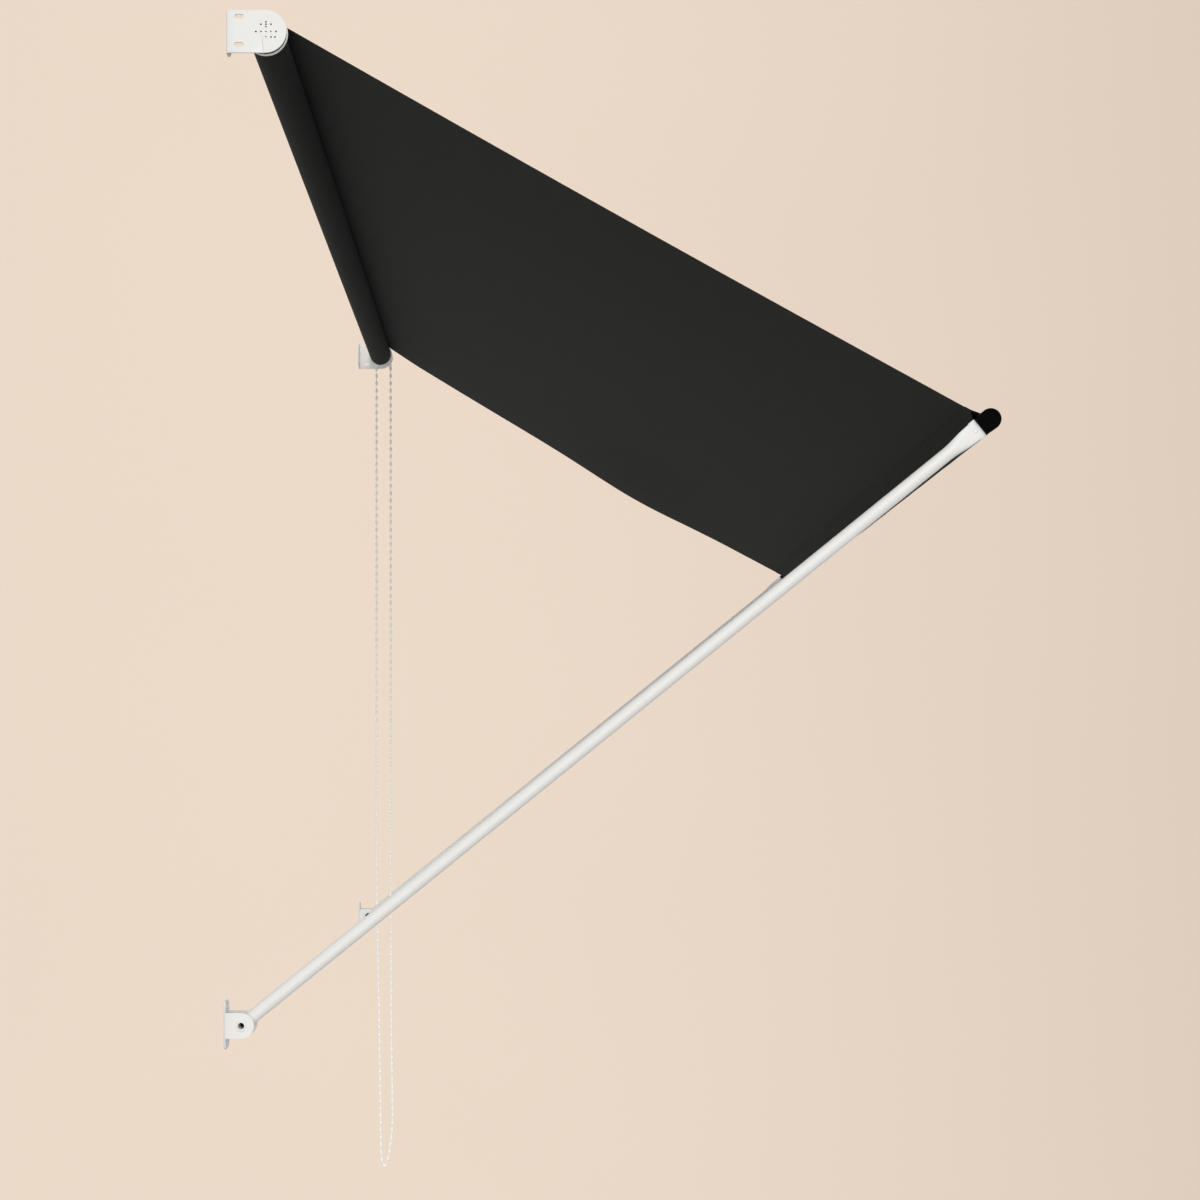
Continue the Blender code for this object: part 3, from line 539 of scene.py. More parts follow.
def finish_of(name):
    """The awning's finishes, each made once, in the colours that the settings hold."""
    s = bpy.context.scene.awning_colours
    makers = {
        "white enamel": lambda: enamel("white enamel", s.enamel),
        "white nylon": lambda: moulded("white nylon", s.nylon, 0.46, 0.03),
        "black nylon": lambda: moulded("black nylon", s.black, 0.6, 0.2, **{"Specular IOR Level": 0.03}),
        "bead chain": lambda: moulded("bead chain", s.chain, 0.35, 0.05, 300.0),
        "anthracite cloth": lambda: woven("anthracite cloth", s.cloth, 0.0007),
        "sewing thread": lambda: woven_thread(s.thread),
        "bare aluminium": lambda: drawn_metal("bare aluminium", (0.72, 0.73, 0.74), 0.36),
        "zinc plating": lambda: drawn_metal("zinc plating", (0.60, 0.61, 0.62), 0.34),
    }
    if name not in FINISHES:
        FINISHES[name] = makers[name]()
    return FINISHES[name]


def woven_thread(colour):
    """Twisted sewing thread."""
    f = Finish("sewing thread", 0.7, **{"Sheen Weight": 0.1})
    dark, light = shades(colour, 0.2)
    f.set("Base Color", f.tint(f.noise(900.0, 1.0), dark, light))
    f.bump(f.noise(2500.0, 1.0), 0.00005, 0.5)
    return f.material


# ---------------------------------------------------------------- settings


def length(name, description, default):
    return bpy.props.FloatProperty(
        name=name, description=description, default=default, subtype="DISTANCE", unit="LENGTH"
    )


class AwningSizes(bpy.types.PropertyGroup):
    """Sizes that shape the visible pieces."""

    far_sag: length(
        "Sag of the far edge", "How far the far side edge hangs below a straight line", 0.0098
    )
    far_dip: length(
        "Dip in the far edge", "Depth of the slack fold towards the front of the far edge", 0.011
    )
    middle_sag: length(
        "Sag of the middle", "How far the middle of the cloth hangs below a straight line", 0.006
    )
    near_sag: length(
        "Sag of the near edge", "How far the near side edge hangs below a straight line", 0.003
    )
    hem_twist: bpy.props.FloatProperty(
        name="Turn of the hem",
        description="How far the hem has turned down on the front bar at the far side",
        default=math.radians(40),
        subtype="ANGLE",
        unit="ROTATION",
    )
    roll_slack: bpy.props.FloatProperty(
        name="Slack at the roll",
        description="How far the cloth hangs off the line to the roll at the far side, per metre of width",
        default=0.002,
    )
    pocket_slack: length(
        "Slack of the hem pocket",
        "How far the pocket hangs below the front bar where it is loosest",
        0.009,
    )
    cloth_thickness: length("Cloth thickness", "Thickness of the woven cloth", 0.0005)
    bead_width: length("Bead diameter", "Diameter of a bead across the chain", 0.0065)
    bead_length: length("Bead length", "Length of a bead along the chain", 0.0100)
    bead_pitch: length("Bead pitch", "Distance from one bead to the next", 0.0162)
    stitch_pitch: length("Stitch pitch", "Distance from one stitch to the next", 0.0032)
    broken_edge: length("Sheet metal edge", "Width of the broken edges of the brackets", 0.00035)


def colour(name, description, default):
    return bpy.props.FloatVectorProperty(
        name=name, description=description, size=3, default=default, min=0.0, max=1.0, subtype="COLOR"
    )


class AwningColours(bpy.types.PropertyGroup):
    """Colours of the finishes."""

    enamel: colour("Enamel", "Powder coat of the brackets and arms", (0.775, 0.775, 0.755))
    nylon: colour("Nylon", "White plastic pieces", (0.84, 0.84, 0.82))
    black: colour("Black nylon", "Knuckles, disc and caps", (0.0008, 0.0008, 0.0008))
    cloth: colour("Cloth", "Woven cloth", (0.0095, 0.0095, 0.0091))
    thread: colour("Thread", "Sewing thread of the hem", (0.012, 0.012, 0.012))
    chain: colour("Bead chain", "Drive chain", (0.95, 0.94, 0.92))
    floor: colour("Floor", "Studio floor and backdrop", (0.80, 0.672, 0.567))


# ---------------------------------------------------------------- stage


class AWNING_OT_stage(bpy.types.Operator):
    """Camera, soft studio light and a plain pale floor that rises all round"""

    bl_idname = "awning.stage"
    bl_label = "Stage"

    def execute(self, context):
        scene = context.scene
        data = bpy.data.cameras.new("camera")
        data.lens = CAMERA_LENS
        data.shift_x, data.shift_y = CAMERA_SHIFT
        camera = bpy.data.objects.new("camera", data)
        camera.location = CAMERA_PLACE
        camera.rotation_euler = (math.pi / 2, 0.0, -math.pi / 2)
        scene.collection.objects.link(camera)
        scene.camera = camera
        scene.view_settings.view_transform = "Standard"

        world = bpy.data.worlds.new("studio")
        world.use_nodes = True
        nodes, links = world.node_tree.nodes, world.node_tree.links
        place = nodes.new("ShaderNodeTexCoord")
        split = nodes.new("ShaderNodeSeparateXYZ")
        ramp = nodes.new("ShaderNodeMapRange")
        ramp.inputs["From Min"].default_value = -0.6
        ramp.inputs["From Max"].default_value = 0.9
        ramp.inputs["To Min"].default_value = 0.42
        ramp.inputs["To Max"].default_value = 0.72
        links.new(place.outputs["Generated"], split.inputs[0])
        links.new(split.outputs["Z"], ramp.inputs["Value"])
        links.new(ramp.outputs["Result"], nodes["Background"].inputs["Strength"])
        nodes["Background"].inputs["Color"].default_value = (1.0, 0.985, 0.965, 1.0)
        scene.world = world

        for name, strength, spread, aim in (
            ("key", 0.75, 28, (0.80, 0.12, -0.50)),
            ("front", 0.85, 50, (1.00, 0.10, 0.05)),
            ("fill", 0.15, 60, (0.60, 0.75, 0.15)),
        ):
            light = bpy.data.lights.new(name, "SUN")
            light.energy = strength
            light.angle = math.radians(spread)
            lamp = bpy.data.objects.new(name, light)
            lamp.rotation_euler = Vector(aim).to_track_quat("-Z", "Y").to_euler()
            scene.collection.objects.link(lamp)

        floor = Finish("studio floor", 0.95, **{"Specular IOR Level": 0.0})
        dark, light = shades(scene.awning_colours.floor, 0.012)
        floor.set("Base Color", floor.tint(floor.noise(0.4, 1.0), dark, light))
        profile = [(0.0, FLOOR_HEIGHT), (FLOOR_RADIUS, FLOOR_HEIGHT)]
        for step in range(1, 13):
            angle = math.radians(90 * step / 12)
            rise = FLOOR_HEIGHT + FLOOR_BEND - FLOOR_BEND * math.cos(angle)
            profile.append((FLOOR_RADIUS + FLOOR_BEND * math.sin(angle), rise))
        profile.append((FLOOR_RADIUS + FLOOR_BEND, 9.0))
        work = bmesh.new()
        rings = []
        for radius, z in profile:
            ring = []
            for i in range(64):
                angle = 2 * math.pi * i / 64
                ring.append(work.verts.new((radius * math.cos(angle), radius * math.sin(angle), z)))
            rings.append(ring)
        for first, second in zip(rings, rings[1:]):
            for i in range(64):
                j = (i + 1) % 64
                work.faces.new((first[j], first[i], second[i], second[j]))
        bmesh.ops.remove_doubles(work, verts=work.verts, dist=0.0001)
        bowl = piece("studio_floor", mesh_from(work, "studio_floor"), floor.material, None, sharp=180)
        bowl.visible_diffuse = False
        bowl.visible_glossy = False
        bowl.visible_shadow = False
        return {"FINISHED"}


# ---------------------------------------------------------------- bead chain

CHAIN_ROUTE = [
    # (y, z) down the outer strand, round the bottom and up the inner strand.
    (-0.0708, -0.0300),
    (-0.0710, -0.1500),
    (-0.0711, -0.4500),
    (-0.0711, -0.9000),
    (-0.0715, -1.3000),
    (-0.0727, -1.5000),
    (-0.0741, -1.6060),
    (-0.0747, -1.6800),
    (-0.0735, -1.7225),
    (-0.0700, -1.7495),
    (-0.0665, -1.7705),
    (-0.0622, -1.7880),
    (-0.0567, -1.7945),
    (-0.0522, -1.7875),
    (-0.0500, -1.7695),
    (-0.0491, -1.7445),
    (-0.0487, -1.6950),
    (-0.0476, -1.6040),
    (-0.0458, -1.5120),
    (-0.0434, -1.3500),
    (-0.0411, -1.2200),
    (-0.0400, -1.0500),
    (-0.0397, -0.7500),
    (-0.0396, -0.4500),
    (-0.0396, -0.1500),
    (-0.0396, -0.0300),
]


class AWNING_OT_bead_chain(bpy.types.Operator):
    """The hanging loop of the drive chain, and the beads that lie over the sprocket"""

    bl_idname = "awning.bead_chain"
    bl_label = "Bead chain"

    def execute(self, context):
        s = context.scene.awning_sizes
        material = finish_of("bead chain")
        tree, made = along_path_tree("Beads along a path", material, 8, 6, True)
        route, length = smooth_route(CHAIN_ROUTE, 0.004)
        points = [(CHAIN_X, p.x, p.y) for p in route]
        sizes = {
            "Spacing": s.bead_pitch,
            "Shape width": s.bead_width,
            "Shape height": s.bead_width,
            "Shape length": s.bead_length,
            "Link radius": 0.0009,
        }
        chain = piece(
            "bead_chain_loop",
            along_paths("bead_chain_loop", [points], tree, made, sizes),
            material,
            "wall_parts",
            ["bead_chain"],
        )
        radius = s.bead_pitch * 6 / (2 * math.pi)
        over = [(CHAIN_X, CHAIN_ROUTE[0][0] + 0.0008, -0.0220)]
        over.append((CHAIN_X, ROLLER.x - radius - 0.0012, -0.0080))
        for step in range(13):
            angle = math.pi - math.pi * step / 12
            over.append((CHAIN_X, ROLLER.x + radius * math.cos(angle), radius * math.sin(angle)))
        over.append((CHAIN_X, ROLLER.x + radius - 0.0022, -0.0080))
        over.append((CHAIN_X, CHAIN_ROUTE[-1][0] - 0.0008, -0.0220))
        piece(
            "bead_chain_over_sprocket",
            along_paths("bead_chain_over_sprocket", [over], tree, made, sizes),
            material,
            "wall_parts",
        )
        return {"FINISHED"}


# ---------------------------------------------------------------- cloth


def hem_twist(x, s):
    """How far the slack at the far side has let the hem turn down on the front bar, at x."""
    share = min(1.0, max(0.0, (x + 0.15) / (CLOTH_HALF + 0.15)))
    return s.hem_twist * share**2.2


def seam_shift(x, s):
    """How far the turn of the hem moves its seam from where it is at the near side."""
    return turned_about(SEAM, BAR, hem_twist(x, s)) - SEAM


def cloth_sag(x, share, s):
    """How far the stretched sheet hangs below a straight line at x, at this share of its length."""
    share = min(1.0, max(0.0, share))
    arch = math.sin(math.pi * share)
    middle = s.middle_sag * arch
    near = s.near_sag * arch
    fold = math.exp(-(((share - FAR_DIP_AT) / FAR_DIP_WIDTH) ** 2)) * min(1.0, arch * 4)
    far = s.far_sag * arch**0.8 + s.far_dip * fold

    def ease(value):
        value = min(1.0, max(0.0, value))
        return value * value * (3 - 2 * value)

    to_far = ease((x - 0.18) / (CLOTH_HALF - 0.18))
    to_near = ease((-x - 0.38) / (CLOTH_HALF - 0.38))
    return middle + (far - middle) * to_far**1.6 + (near - middle) * to_near


def sheet_shift(x, point, s):
    """How far the hanging cloth moves a place of the straight sheet, at x."""
    span = SEAM - LEAVE
    share = min(1.0, max(0.0, (point - LEAVE).dot(span) / span.length_squared))
    slack = s.roll_slack * min(1.0, share * 12) * (1 - share) * (x + CLOTH_HALF)
    return Vector((0.0, -cloth_sag(x, share, s) - slack)) + seam_shift(x, s) * share


class AWNING_OT_cloth_sheet(bpy.types.Operator):
    """The stretched sheet between the roller and the hem"""

    bl_idname = "awning.cloth_sheet"
    bl_label = "Cloth sheet"

    def execute(self, context):
        s = context.scene.awning_sizes
        path = []
        for step in range(4):
            angle = LEAVE_ANGLE + math.radians(12) * (1 - step / 4)
            radius = ROLL_RADIUS + s.cloth_thickness * (0.55 + 0.5 * step / 4)
            path.append(ROLLER + radius * Vector((math.cos(angle), math.sin(angle))))
        span = SEAM - LEAVE
        rows = 110
        stop = 1.0 - 0.0003 / span.length
        for step in range(rows + 1):
            path.append(LEAVE + span * (stop * step / rows))
        columns = [-1 + 2 * i / 100 for i in range(101)]

        def hang(x, _share, point):
            return sheet_shift(x, point, s)

        mesh = ribbon("cloth_sheet", path, CLOTH_HALF, s.cloth_thickness, columns, hang)
        sheet = piece(
            "cloth_sheet", mesh, finish_of("anthracite cloth"),
            "canopy", ["canopy_cloth"], 60,
        )
        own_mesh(sheet)
        return {"FINISHED"}


class AWNING_OT_cloth_roll(bpy.types.Operator):
    """The cloth wound on the roller, layer on layer"""

    bl_idname = "awning.cloth_roll"
    bl_label = "Cloth roll"

    def execute(self, context):
        s = context.scene.awning_sizes
        pitch = s.cloth_thickness
        inner = TUBE_RADIUS + 0.0003 + pitch / 2
        outer = ROLL_RADIUS - pitch / 2
        turns = (outer - inner) / pitch
        steps = int(turns * 60)
        end_angle = LEAVE_ANGLE - math.radians(2)
        path = []
        for step in range(steps + 1):
            share = step / steps
            angle = end_angle + 2 * math.pi * turns * (1 - share)
            radius = inner + (outer - inner) * share
            path.append(ROLLER + radius * Vector((math.cos(angle), math.sin(angle))))

        def wander(x, share, point):
            lift = 0.00006 * math.sin(share * 41.0 + x * 9.0) * math.sin(share * 17.0)
            return (point - ROLLER).normalized() * lift

        columns = [-1 + 2 * i / 14 for i in range(15)]
        mesh = ribbon("wound_cloth", path, CLOTH_HALF, pitch * 0.86, columns, wander)
        piece(
            "wound_cloth", mesh, finish_of("anthracite cloth"),
            "roller", ["cloth_roll"], 60,
        )
        return {"FINISHED"}


class AWNING_OT_hem_pocket(bpy.types.Operator):
    """The hem that is sewn round the front bar, with its stitches"""

    bl_idname = "awning.hem_pocket"
    bl_label = "Hem pocket"

    def execute(self, context):
        s = context.scene.awning_sizes
        tip = SEAM - BAR
        radius = POCKET_INNER + 0.0006
        heading = math.atan2(tip.y, tip.x)
        spread = math.acos(radius / tip.length)
        first = Vector((math.cos(heading + spread), math.sin(heading + spread))) * radius
        last = Vector((math.cos(heading - spread), math.sin(heading - spread))) * radius
        onto = (LEAVE - SEAM).normalized()
        above = Vector((onto.y, -onto.x))
        if above.y < 0:
            above = -above
        layer = s.cloth_thickness * 1.04
        allowance = 0.0085
        path = [SEAM + above * layer + onto * (allowance * (1 - step / 6)) for step in range(6)]
        for step in range(10):
            path.append(BAR + (tip + above * layer * (1 - step / 10)).lerp(first, step / 10))
        turn = 2 * (math.pi - spread)
        for step in range(49):
            angle = heading + spread + turn * step / 48
            path.append(BAR + radius * Vector((math.cos(angle), math.sin(angle))))
        for step in range(1, 10):
            path.append(BAR + last.lerp(tip - above * layer, step / 10))
        path += [SEAM - above * layer + onto * (allowance * step / 6) for step in range(1, 7)]
        columns = [-1 + 2 * i / 60 for i in range(61)]

        def hang(x, _share, point):
            off = point - BAR
            ahead = (point - SEAM).dot(onto)
            if ahead > 0 and off.length > tip.length:
                return sheet_shift(x, point, s)
            turned = turned_about(point, BAR, hem_twist(x, s))
            wave = math.sin(x * 210.0) + 0.6 * math.sin(x * 337.0 + 1.0)
            loose = max(0.0, 1.0 - max(0.0, off.dot(tip) / tip.length_squared))
            drop = min(s.pocket_slack, 0.0015 + 0.0105 * (x + CLOTH_HALF))
            away = (turned - BAR).normalized()
            down = max(0.0, -away.y) ** 1.2 * loose
            return turned + away * (0.00012 * wave * loose) - Vector((0.0, drop * down)) - point

        mesh = ribbon("hem_pocket_cloth", path, CLOTH_HALF, s.cloth_thickness, columns, hang)
        pocket = piece(
            "hem_pocket_cloth", mesh, finish_of("anthracite cloth"), "front_bar",
            ["hem_pocket"], 60,
        )

        thread = finish_of("sewing thread")
        tree, made = along_path_tree("Stitches along a seam", thread, 6, 4, False)
        sizes = {
            "Spacing": s.stitch_pitch,
            "Shape width": 0.0005,
            "Shape height": 0.0005,
            "Shape length": s.stitch_pitch * 0.78,
        }
        rows = []
        for side in (1, -1):
            for back in (0.0022, 0.0058):
                place = SEAM + onto * back + above * side * (layer + s.cloth_thickness * 0.5 + 0.0001)
                row = []
                for step in range(61):
                    x = CLOTH_HALF * 0.997 * (-1 + step / 30)
                    hung = place + sheet_shift(x, place, s)
                    row.append((x, hung.x, hung.y))
                rows.append(row)
        stitches = along_paths("hem_stitches", rows, tree, made, sizes)
        piece("hem_stitches", stitches, thread, "front_bar", (), 180)
        return {"FINISHED"}


# ---------------------------------------------------------------- metal and plastic


def flipped(profile, side):
    """The profile for the +X side, or its mirror image."""
    return profile if side > 0 else [(-point[0], *point[1:]) for point in profile]


def turned_piece(name, profile, centre, finish, body, replaced, radius=0.0003, sides=72):
    mesh = lathe(name, rounded(profile, radius), centre, sides)
    return piece(name, mesh, finish_of(finish), body, [replaced])


SIDES = (("left", -1), ("right", 1))


class AWNING_OT_roller_brackets(bpy.types.Operator):
    """The two folded brackets that carry the roller"""

    bl_idname = "awning.roller_brackets"
    bl_label = "Roller brackets"

    def execute(self, context):
        width = context.scene.awning_sizes.broken_edge
        for side_name, _side in SIDES:
            softened(
                f"{side_name}_bracket_of_roller",
                f"{side_name}_roller_bracket",
                finish_of("white enamel"),
                "wall_parts", width,
            )
        return {"FINISHED"}


class AWNING_OT_arm_brackets(bpy.types.Operator):
    """The two U brackets at the foot of the arms, with their pivot pins and caps"""

    bl_idname = "awning.arm_brackets"
    bl_label = "Arm brackets"

    def execute(self, context):
        width = context.scene.awning_sizes.broken_edge
        head, end = PIN_HEAD_X, PIN_END_X
        for side_name, side in SIDES:
            softened(
                f"{side_name}_bracket_of_arm", f"{side_name}_arm_bracket", finish_of("white enamel"),
                "wall_parts", width,
            )
            pin = [
                (head + 0.0012, 0.0064),
                (head, 0.0066),
                (head, 0.0052),
                (end, 0.0052),
                (end, 0.0041),
                (head + 0.0012, 0.0041),
            ]
            turned_piece(
                f"{side_name}_tubular_pin", flipped(pin, side), PIVOT, "white enamel", "wall_parts",
                f"{side_name}_pivot_pin", 0.0004,
            )
            cap = [
                (0.7495, 0.0, 0.0),
                (0.7495, 0.0037),
                (end - 0.0003, 0.0037),
                (end - 0.0003, 0.0072),
                (end - 0.0027, 0.0072, 0.0014),
                (end - 0.0027, 0.0, 0.0),
            ]
            turned_piece(
                f"{side_name}_push_cap", flipped(cap, side), PIVOT, "black nylon", "wall_parts",
                f"{side_name}_pivot_cap",
            )
        return {"FINISHED"}


ARM_STATIONS = [
    # How far along the arm, half its width, half its depth, and how square its section is.
    (-0.0100, 0.0085, 0.0085, 2.0),
    (1.1330, 0.0085, 0.0085, 2.0),
    (1.1420, 0.0090, 0.0079, 2.1),
    (1.1520, 0.0103, 0.0060, 2.4),
    (1.1610, 0.0114, 0.0043, 3.0),
    (1.1690, 0.0118, 0.0033, 3.6),
    (1.1755, 0.0120, 0.0031, 3.8),
    (1.1770, 0.0129, 0.0031, 3.8),
    (1.1850, 0.0129, 0.0031, 3.8),
]


def arm_frame(side):
    """From the arm's own axes, its length along Z, to its place when it is open."""
    place = Matrix.Translation((side * ARM_X, PIVOT.x, PIVOT.y))
    return place @ Matrix.Rotation(math.pi / 2 - ARM_RISE, 4, "X")


def arm_ring(work, along, half_width, half_depth, power, shrink):
    """Points round the arm, from round to flattened as the power rises."""
    ring = []
    for step in range(ARM_SIDES):
        angle = 2 * math.pi * step / ARM_SIDES
        c, s = math.cos(angle), math.sin(angle)
        x = (half_depth - shrink) * math.copysign(abs(c) ** (2 / power), c)
        y = (half_width - shrink) * math.copysign(abs(s) ** (2 / power), s)
        ring.append(work.verts.new((x, y, along)))
    return ring


def arm_tube(name, side):
    """A round tube pressed flat towards its front, with a wider lip at its mouth."""
    stations = [ARM_STATIONS[0], (1.05, *ARM_STATIONS[1][1:])]
    for a, b in zip(ARM_STATIONS[1:], ARM_STATIONS[2:]):
        for step in range(5):
            t = step / 5
            stations.append(tuple(p + (q - p) * t for p, q in zip(a, b)))
    stations.append(ARM_STATIONS[-1])
    smoothed = []
    for i, station in enumerate(stations):
        if 2 < i < len(stations) - 9:
            near = stations[i - 2 : i + 3]
            smoothed.append((station[0], *(sum(s[k] for s in near) / 5 for k in (1, 2, 3))))
        else:
            smoothed.append(station)
    work = bmesh.new()
    shells = []
    for shrink in (0.0, ARM_WALL):
        rings = []
        for i, (along, *shape) in enumerate(smoothed):
            edge = ARM_EDGE if i in (0, len(smoothed) - 1) else 0.0
            cut = shrink + (edge if shrink == 0.0 else -edge)
            rings.append(arm_ring(work, along, *shape, cut))
            if i in (0, len(smoothed) - 2):
                # The wall reaches its full thickness just inside each end.
                inside = along + ARM_EDGE if i == 0 else smoothed[-1][0] - ARM_EDGE
                rings.append(arm_ring(work, inside, *shape, shrink))
        shells.append(rings)
    outer, inner = shells
    for rings in shells:
        for first, second in zip(rings, rings[1:]):
            for i in range(ARM_SIDES):
                j = (i + 1) % ARM_SIDES
                work.faces.new((first[i], first[j], second[j], second[i]))
    for last in (0, -1):
        for i in range(ARM_SIDES):
            j = (i + 1) % ARM_SIDES
            work.faces.new((outer[last][i], outer[last][j], inner[last][j], inner[last][i]))
    bmesh.ops.recalc_face_normals(work, faces=work.faces)
    bmesh.ops.transform(work, matrix=arm_frame(side), verts=work.verts)
    return mesh_from(work, name)


def cylinder_at(name, radius, half, matrix, sides=48):
    work = bmesh.new()
    bmesh.ops.create_cone(
        work, cap_ends=True, segments=sides, radius1=radius, radius2=radius, depth=2 * half,
        matrix=matrix @ Matrix.Rotation(math.pi / 2, 4, "Y"),
    )
    return mesh_from(work, name)


def drilled(mesh, cutters):
    """The mesh with these cutter meshes taken out of it."""
    obj = bpy.data.objects.new(mesh.name, mesh)
    bpy.context.scene.collection.objects.link(obj)
    helpers = []
    for cutter in cutters:
        helper = bpy.data.objects.new("cutter", cutter)
        bpy.context.scene.collection.objects.link(helper)
        helpers.append(helper)
        cut = obj.modifiers.new("drill", "BOOLEAN")
        cut.operation = "DIFFERENCE"
        cut.object = helper
        cut.solver = "EXACT"
    made = bpy.data.meshes.new_from_object(obj.evaluated_get(bpy.context.evaluated_depsgraph_get()))
    for helper in [obj, *helpers]:
        bpy.data.objects.remove(helper)
    return made


class AWNING_OT_arms(bpy.types.Operator):
    """The two arms with their bushes, knuckles and rivets"""

    bl_idname = "awning.arms"
    bl_label = "Arms"

    def execute(self, context):
        for side_name, side in SIDES:
            open_arm = arm_frame(side)
            pivot_hole = cylinder_at("hole", ARM_HOLE, 0.012, open_arm)
            at_rivet = open_arm @ Matrix.Translation((0, 0, RIVET_AT))
            rivet_hole = cylinder_at("hole", RIVET_HOLE, 0.02, at_rivet, 24)
            mesh = drilled(arm_tube(f"{side_name}_arm_tube", side), [pivot_hole, rivet_hole])
            piece(
                f"{side_name}_arm_tube", mesh, finish_of("white enamel"), "arms",
                [f"{side_name}_arm"], 30,
            )
            bush = [
                (0.0104, 0.0080, 0.0005),
                (0.0088, 0.0080),
                (0.0088, 0.0060),
                (0.0043, 0.0060),
                (0.0043, 0.00545),
                (0.0104, 0.00545),
            ]
            for which, way in (("outer", side), ("inner", -side)):
                profile = [(side * ARM_X + p[0], *p[1:]) for p in flipped(bush, way)]
                turned_piece(
                    f"{side_name}_{which}_flanged_bush", profile, PIVOT, "white nylon", "arms",
                    f"{side_name}_{which}_bush", 0.0002,
                )
            softened(
                f"{side_name}_arm_knuckle", f"{side_name}_knuckle", finish_of("black nylon"), "arms",
                0.0007, 3,
            )
            rivet = [
                (0.0046, 0.0, 0.0),
                (0.0046, 0.0024, 0.0012),
                (0.0034, 0.0034),
                (0.0034, 0.0016),
                (-0.0030, 0.0016),
                (-0.0030, 0.0, 0.0),
            ]
            direction = Vector((-math.cos(ARM_RISE), math.sin(ARM_RISE)))
            profile = [(side * ARM_X + p[0], *p[1:]) for p in flipped(rivet, -side)]
            turned_piece(
                f"{side_name}_rivet", profile, PIVOT + direction * RIVET_AT, "zinc plating", "arms",
                f"{side_name}_knuckle_rivet", 0.0002, 36,
            )
        return {"FINISHED"}


class AWNING_OT_roller_ends(bpy.types.Operator):
    """The roller tube, its two end pieces, and the chain drive"""

    bl_idname = "awning.roller_ends"
    bl_label = "Roller ends"

    def execute(self, context):
        face = 0.7479
        tube = [(-0.7410, 0.0190), (0.7304, 0.0190), (0.7304, 0.0178), (-0.7410, 0.0178)]
        turned_piece(
            "tube_of_roller", tube, ROLLER,
            "bare aluminium", "roller", "roller_tube",
        )
        pin = [
            (-0.7150, 0.0, 0.0),
            (-0.7150, 0.0040, 0.0006),
            (-face + 0.0011, 0.0040),
            (-face + 0.0011, 0.0090),
            (-face, 0.0090),
            (-face, 0.0, 0.0),
        ]
        turned_piece("bearing_pin", pin, ROLLER, "zinc plating", "wall_parts", "idle_pin")
        disc = [(-0.7441, 0.0262), (-0.7465, 0.0262), (-0.7465, 0.00435), (-0.7441, 0.00435)]
        turned_piece(
            "black_disc", disc, ROLLER,
            "black nylon", "wall_parts", "idle_disc", 0.0007, 96,
        )
        plug = [
            (-0.7000, 0.0175),
            (-0.7414, 0.0175),
            (-0.7414, 0.0275),
            (-0.7438, 0.0275),
            (-0.7438, 0.00435),
            (-0.7000, 0.00435),
        ]
        turned_piece(
            "flanged_plug", plug, ROLLER,
            "white nylon", "roller", "idle_end_plug", 0.0005, 96,
        )
        plug = [
            (0.7328, 0.0254),
            (0.7308, 0.0254),
            (0.7308, 0.0175),
            (0.7050, 0.0175),
            (0.7050, 0.00535),
            (0.7328, 0.00535),
        ]
        turned_piece(
            "drive_end_plug", plug, ROLLER,
            "white nylon", "roller", "drive_plug", 0.0005, 96,
        )
        softened(
            "drive_housing", "clutch_housing", finish_of("white nylon"),
            "wall_parts", 0.0004,
        )
        softened(
            "chain_wheel", "chain_sprocket", finish_of("white nylon"), "roller", 0.0003
        )
        return {"FINISHED"}


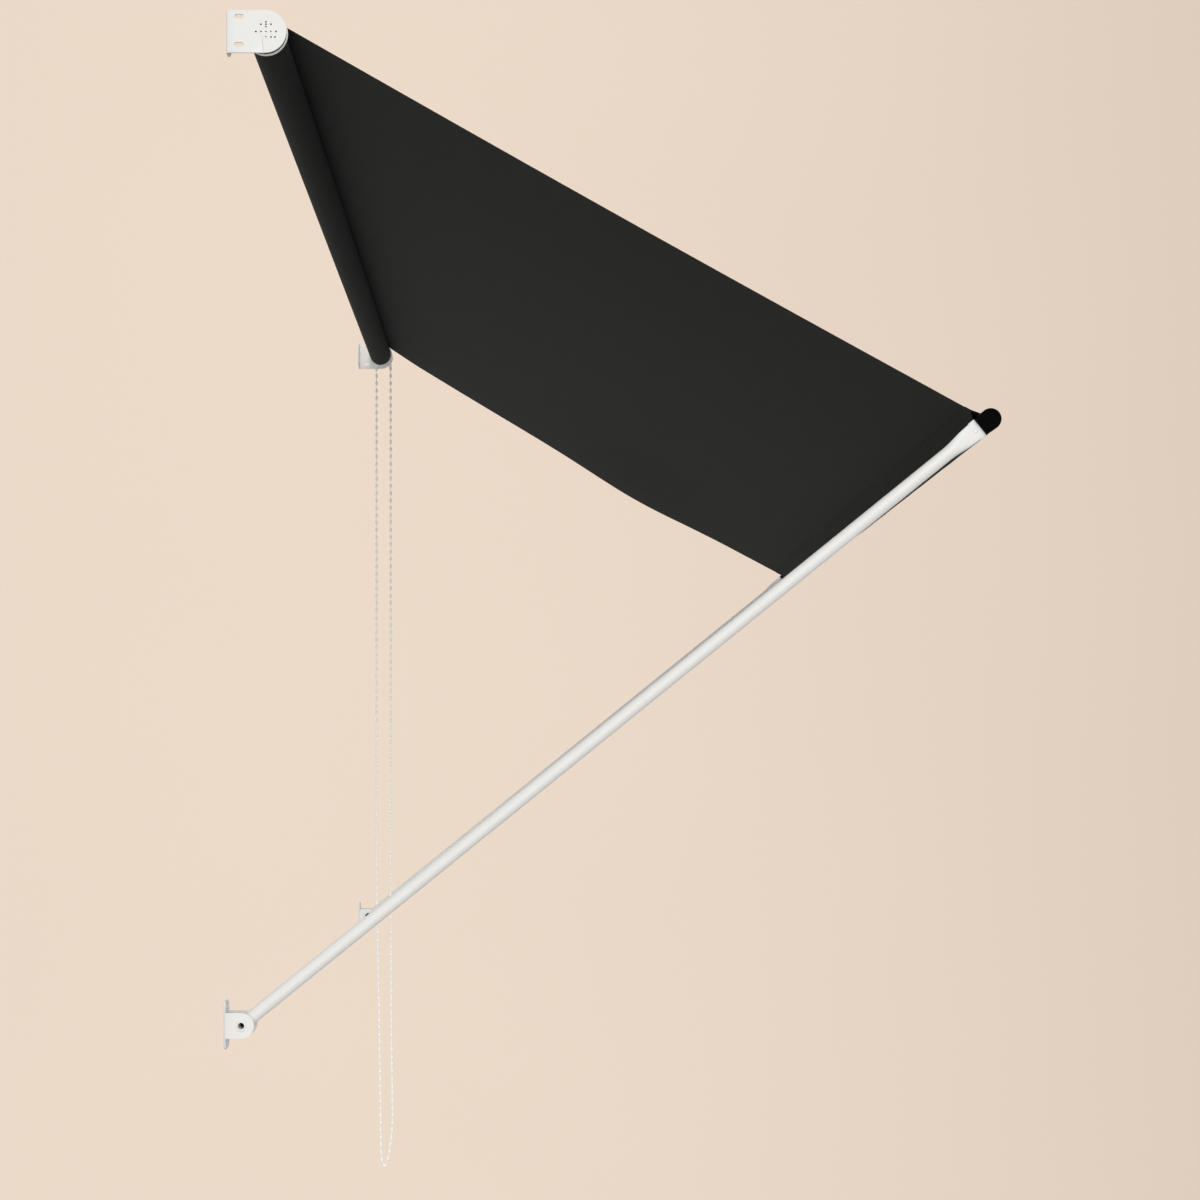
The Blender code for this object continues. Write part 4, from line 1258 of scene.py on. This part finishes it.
class AWNING_OT_front_bar(bpy.types.Operator):
    """The tube in the hem and its end plugs"""

    bl_idname = "awning.front_bar"
    bl_label = "Front bar"

    def execute(self, context):
        tube = [(-0.7380, 0.0110), (0.7380, 0.0110), (0.7380, 0.0095), (-0.7380, 0.0095)]
        turned_piece(
            "tube_of_front_bar", tube, BAR,
            "bare aluminium", "front_bar", "front_bar",
        )
        plug = [
            (0.7401, 0.0106),
            (0.7383, 0.0106),
            (0.7383, 0.0092),
            (0.7150, 0.0092),
            (0.7150, 0.00435),
            (0.7401, 0.00435),
        ]
        for side_name, side in SIDES:
            turned_piece(
                f"{side_name}_plug_of_bar", flipped(plug, side), BAR, "black nylon", "front_bar",
                f"{side_name}_bar_plug",
            )
        return {"FINISHED"}


# ---------------------------------------------------------------- panel and run

OPERATORS = (
    AWNING_OT_stage,
    AWNING_OT_bead_chain,
    AWNING_OT_cloth_roll,
    AWNING_OT_cloth_sheet,
    AWNING_OT_hem_pocket,
    AWNING_OT_roller_brackets,
    AWNING_OT_roller_ends,
    AWNING_OT_arm_brackets,
    AWNING_OT_arms,
    AWNING_OT_front_bar,
)


class AWNING_PT_panel(bpy.types.Panel):
    """The awning's pieces and their settings"""

    bl_idname = "AWNING_PT_panel"
    bl_label = "Window awning"
    bl_space_type = "VIEW_3D"
    bl_region_type = "UI"
    bl_category = "Awning"

    def draw(self, context):
        layout = self.layout
        for group in (context.scene.awning_sizes, context.scene.awning_colours):
            box = layout.box()
            for name in group.bl_rna.properties.keys():
                if name not in ("rna_type", "name"):
                    box.prop(group, name)
        for operator in OPERATORS:
            layout.operator(operator.bl_idname)


CLASSES = (AwningSizes, AwningColours, *OPERATORS, AWNING_PT_panel)


def register():
    for made in CLASSES:
        bpy.utils.register_class(made)
    bpy.types.Scene.awning_sizes = bpy.props.PointerProperty(type=AwningSizes)
    bpy.types.Scene.awning_colours = bpy.props.PointerProperty(type=AwningColours)


def unregister():
    del bpy.types.Scene.awning_colours
    del bpy.types.Scene.awning_sizes
    for made in reversed(CLASSES):
        bpy.utils.unregister_class(made)


def main():
    register()
    for old in list(bpy.data.objects):
        if old.name in ("Cube", "Light", "Camera"):
            bpy.data.objects.remove(old)
    bpy.ops.awning.stage()
    bpy.ops.awning.bead_chain()
    bpy.ops.awning.cloth_roll()
    bpy.ops.awning.cloth_sheet()
    bpy.ops.awning.hem_pocket()
    bpy.ops.awning.roller_brackets()
    bpy.ops.awning.roller_ends()
    bpy.ops.awning.arm_brackets()
    bpy.ops.awning.arms()
    bpy.ops.awning.front_bar()


if __name__ == "__main__":
    main()
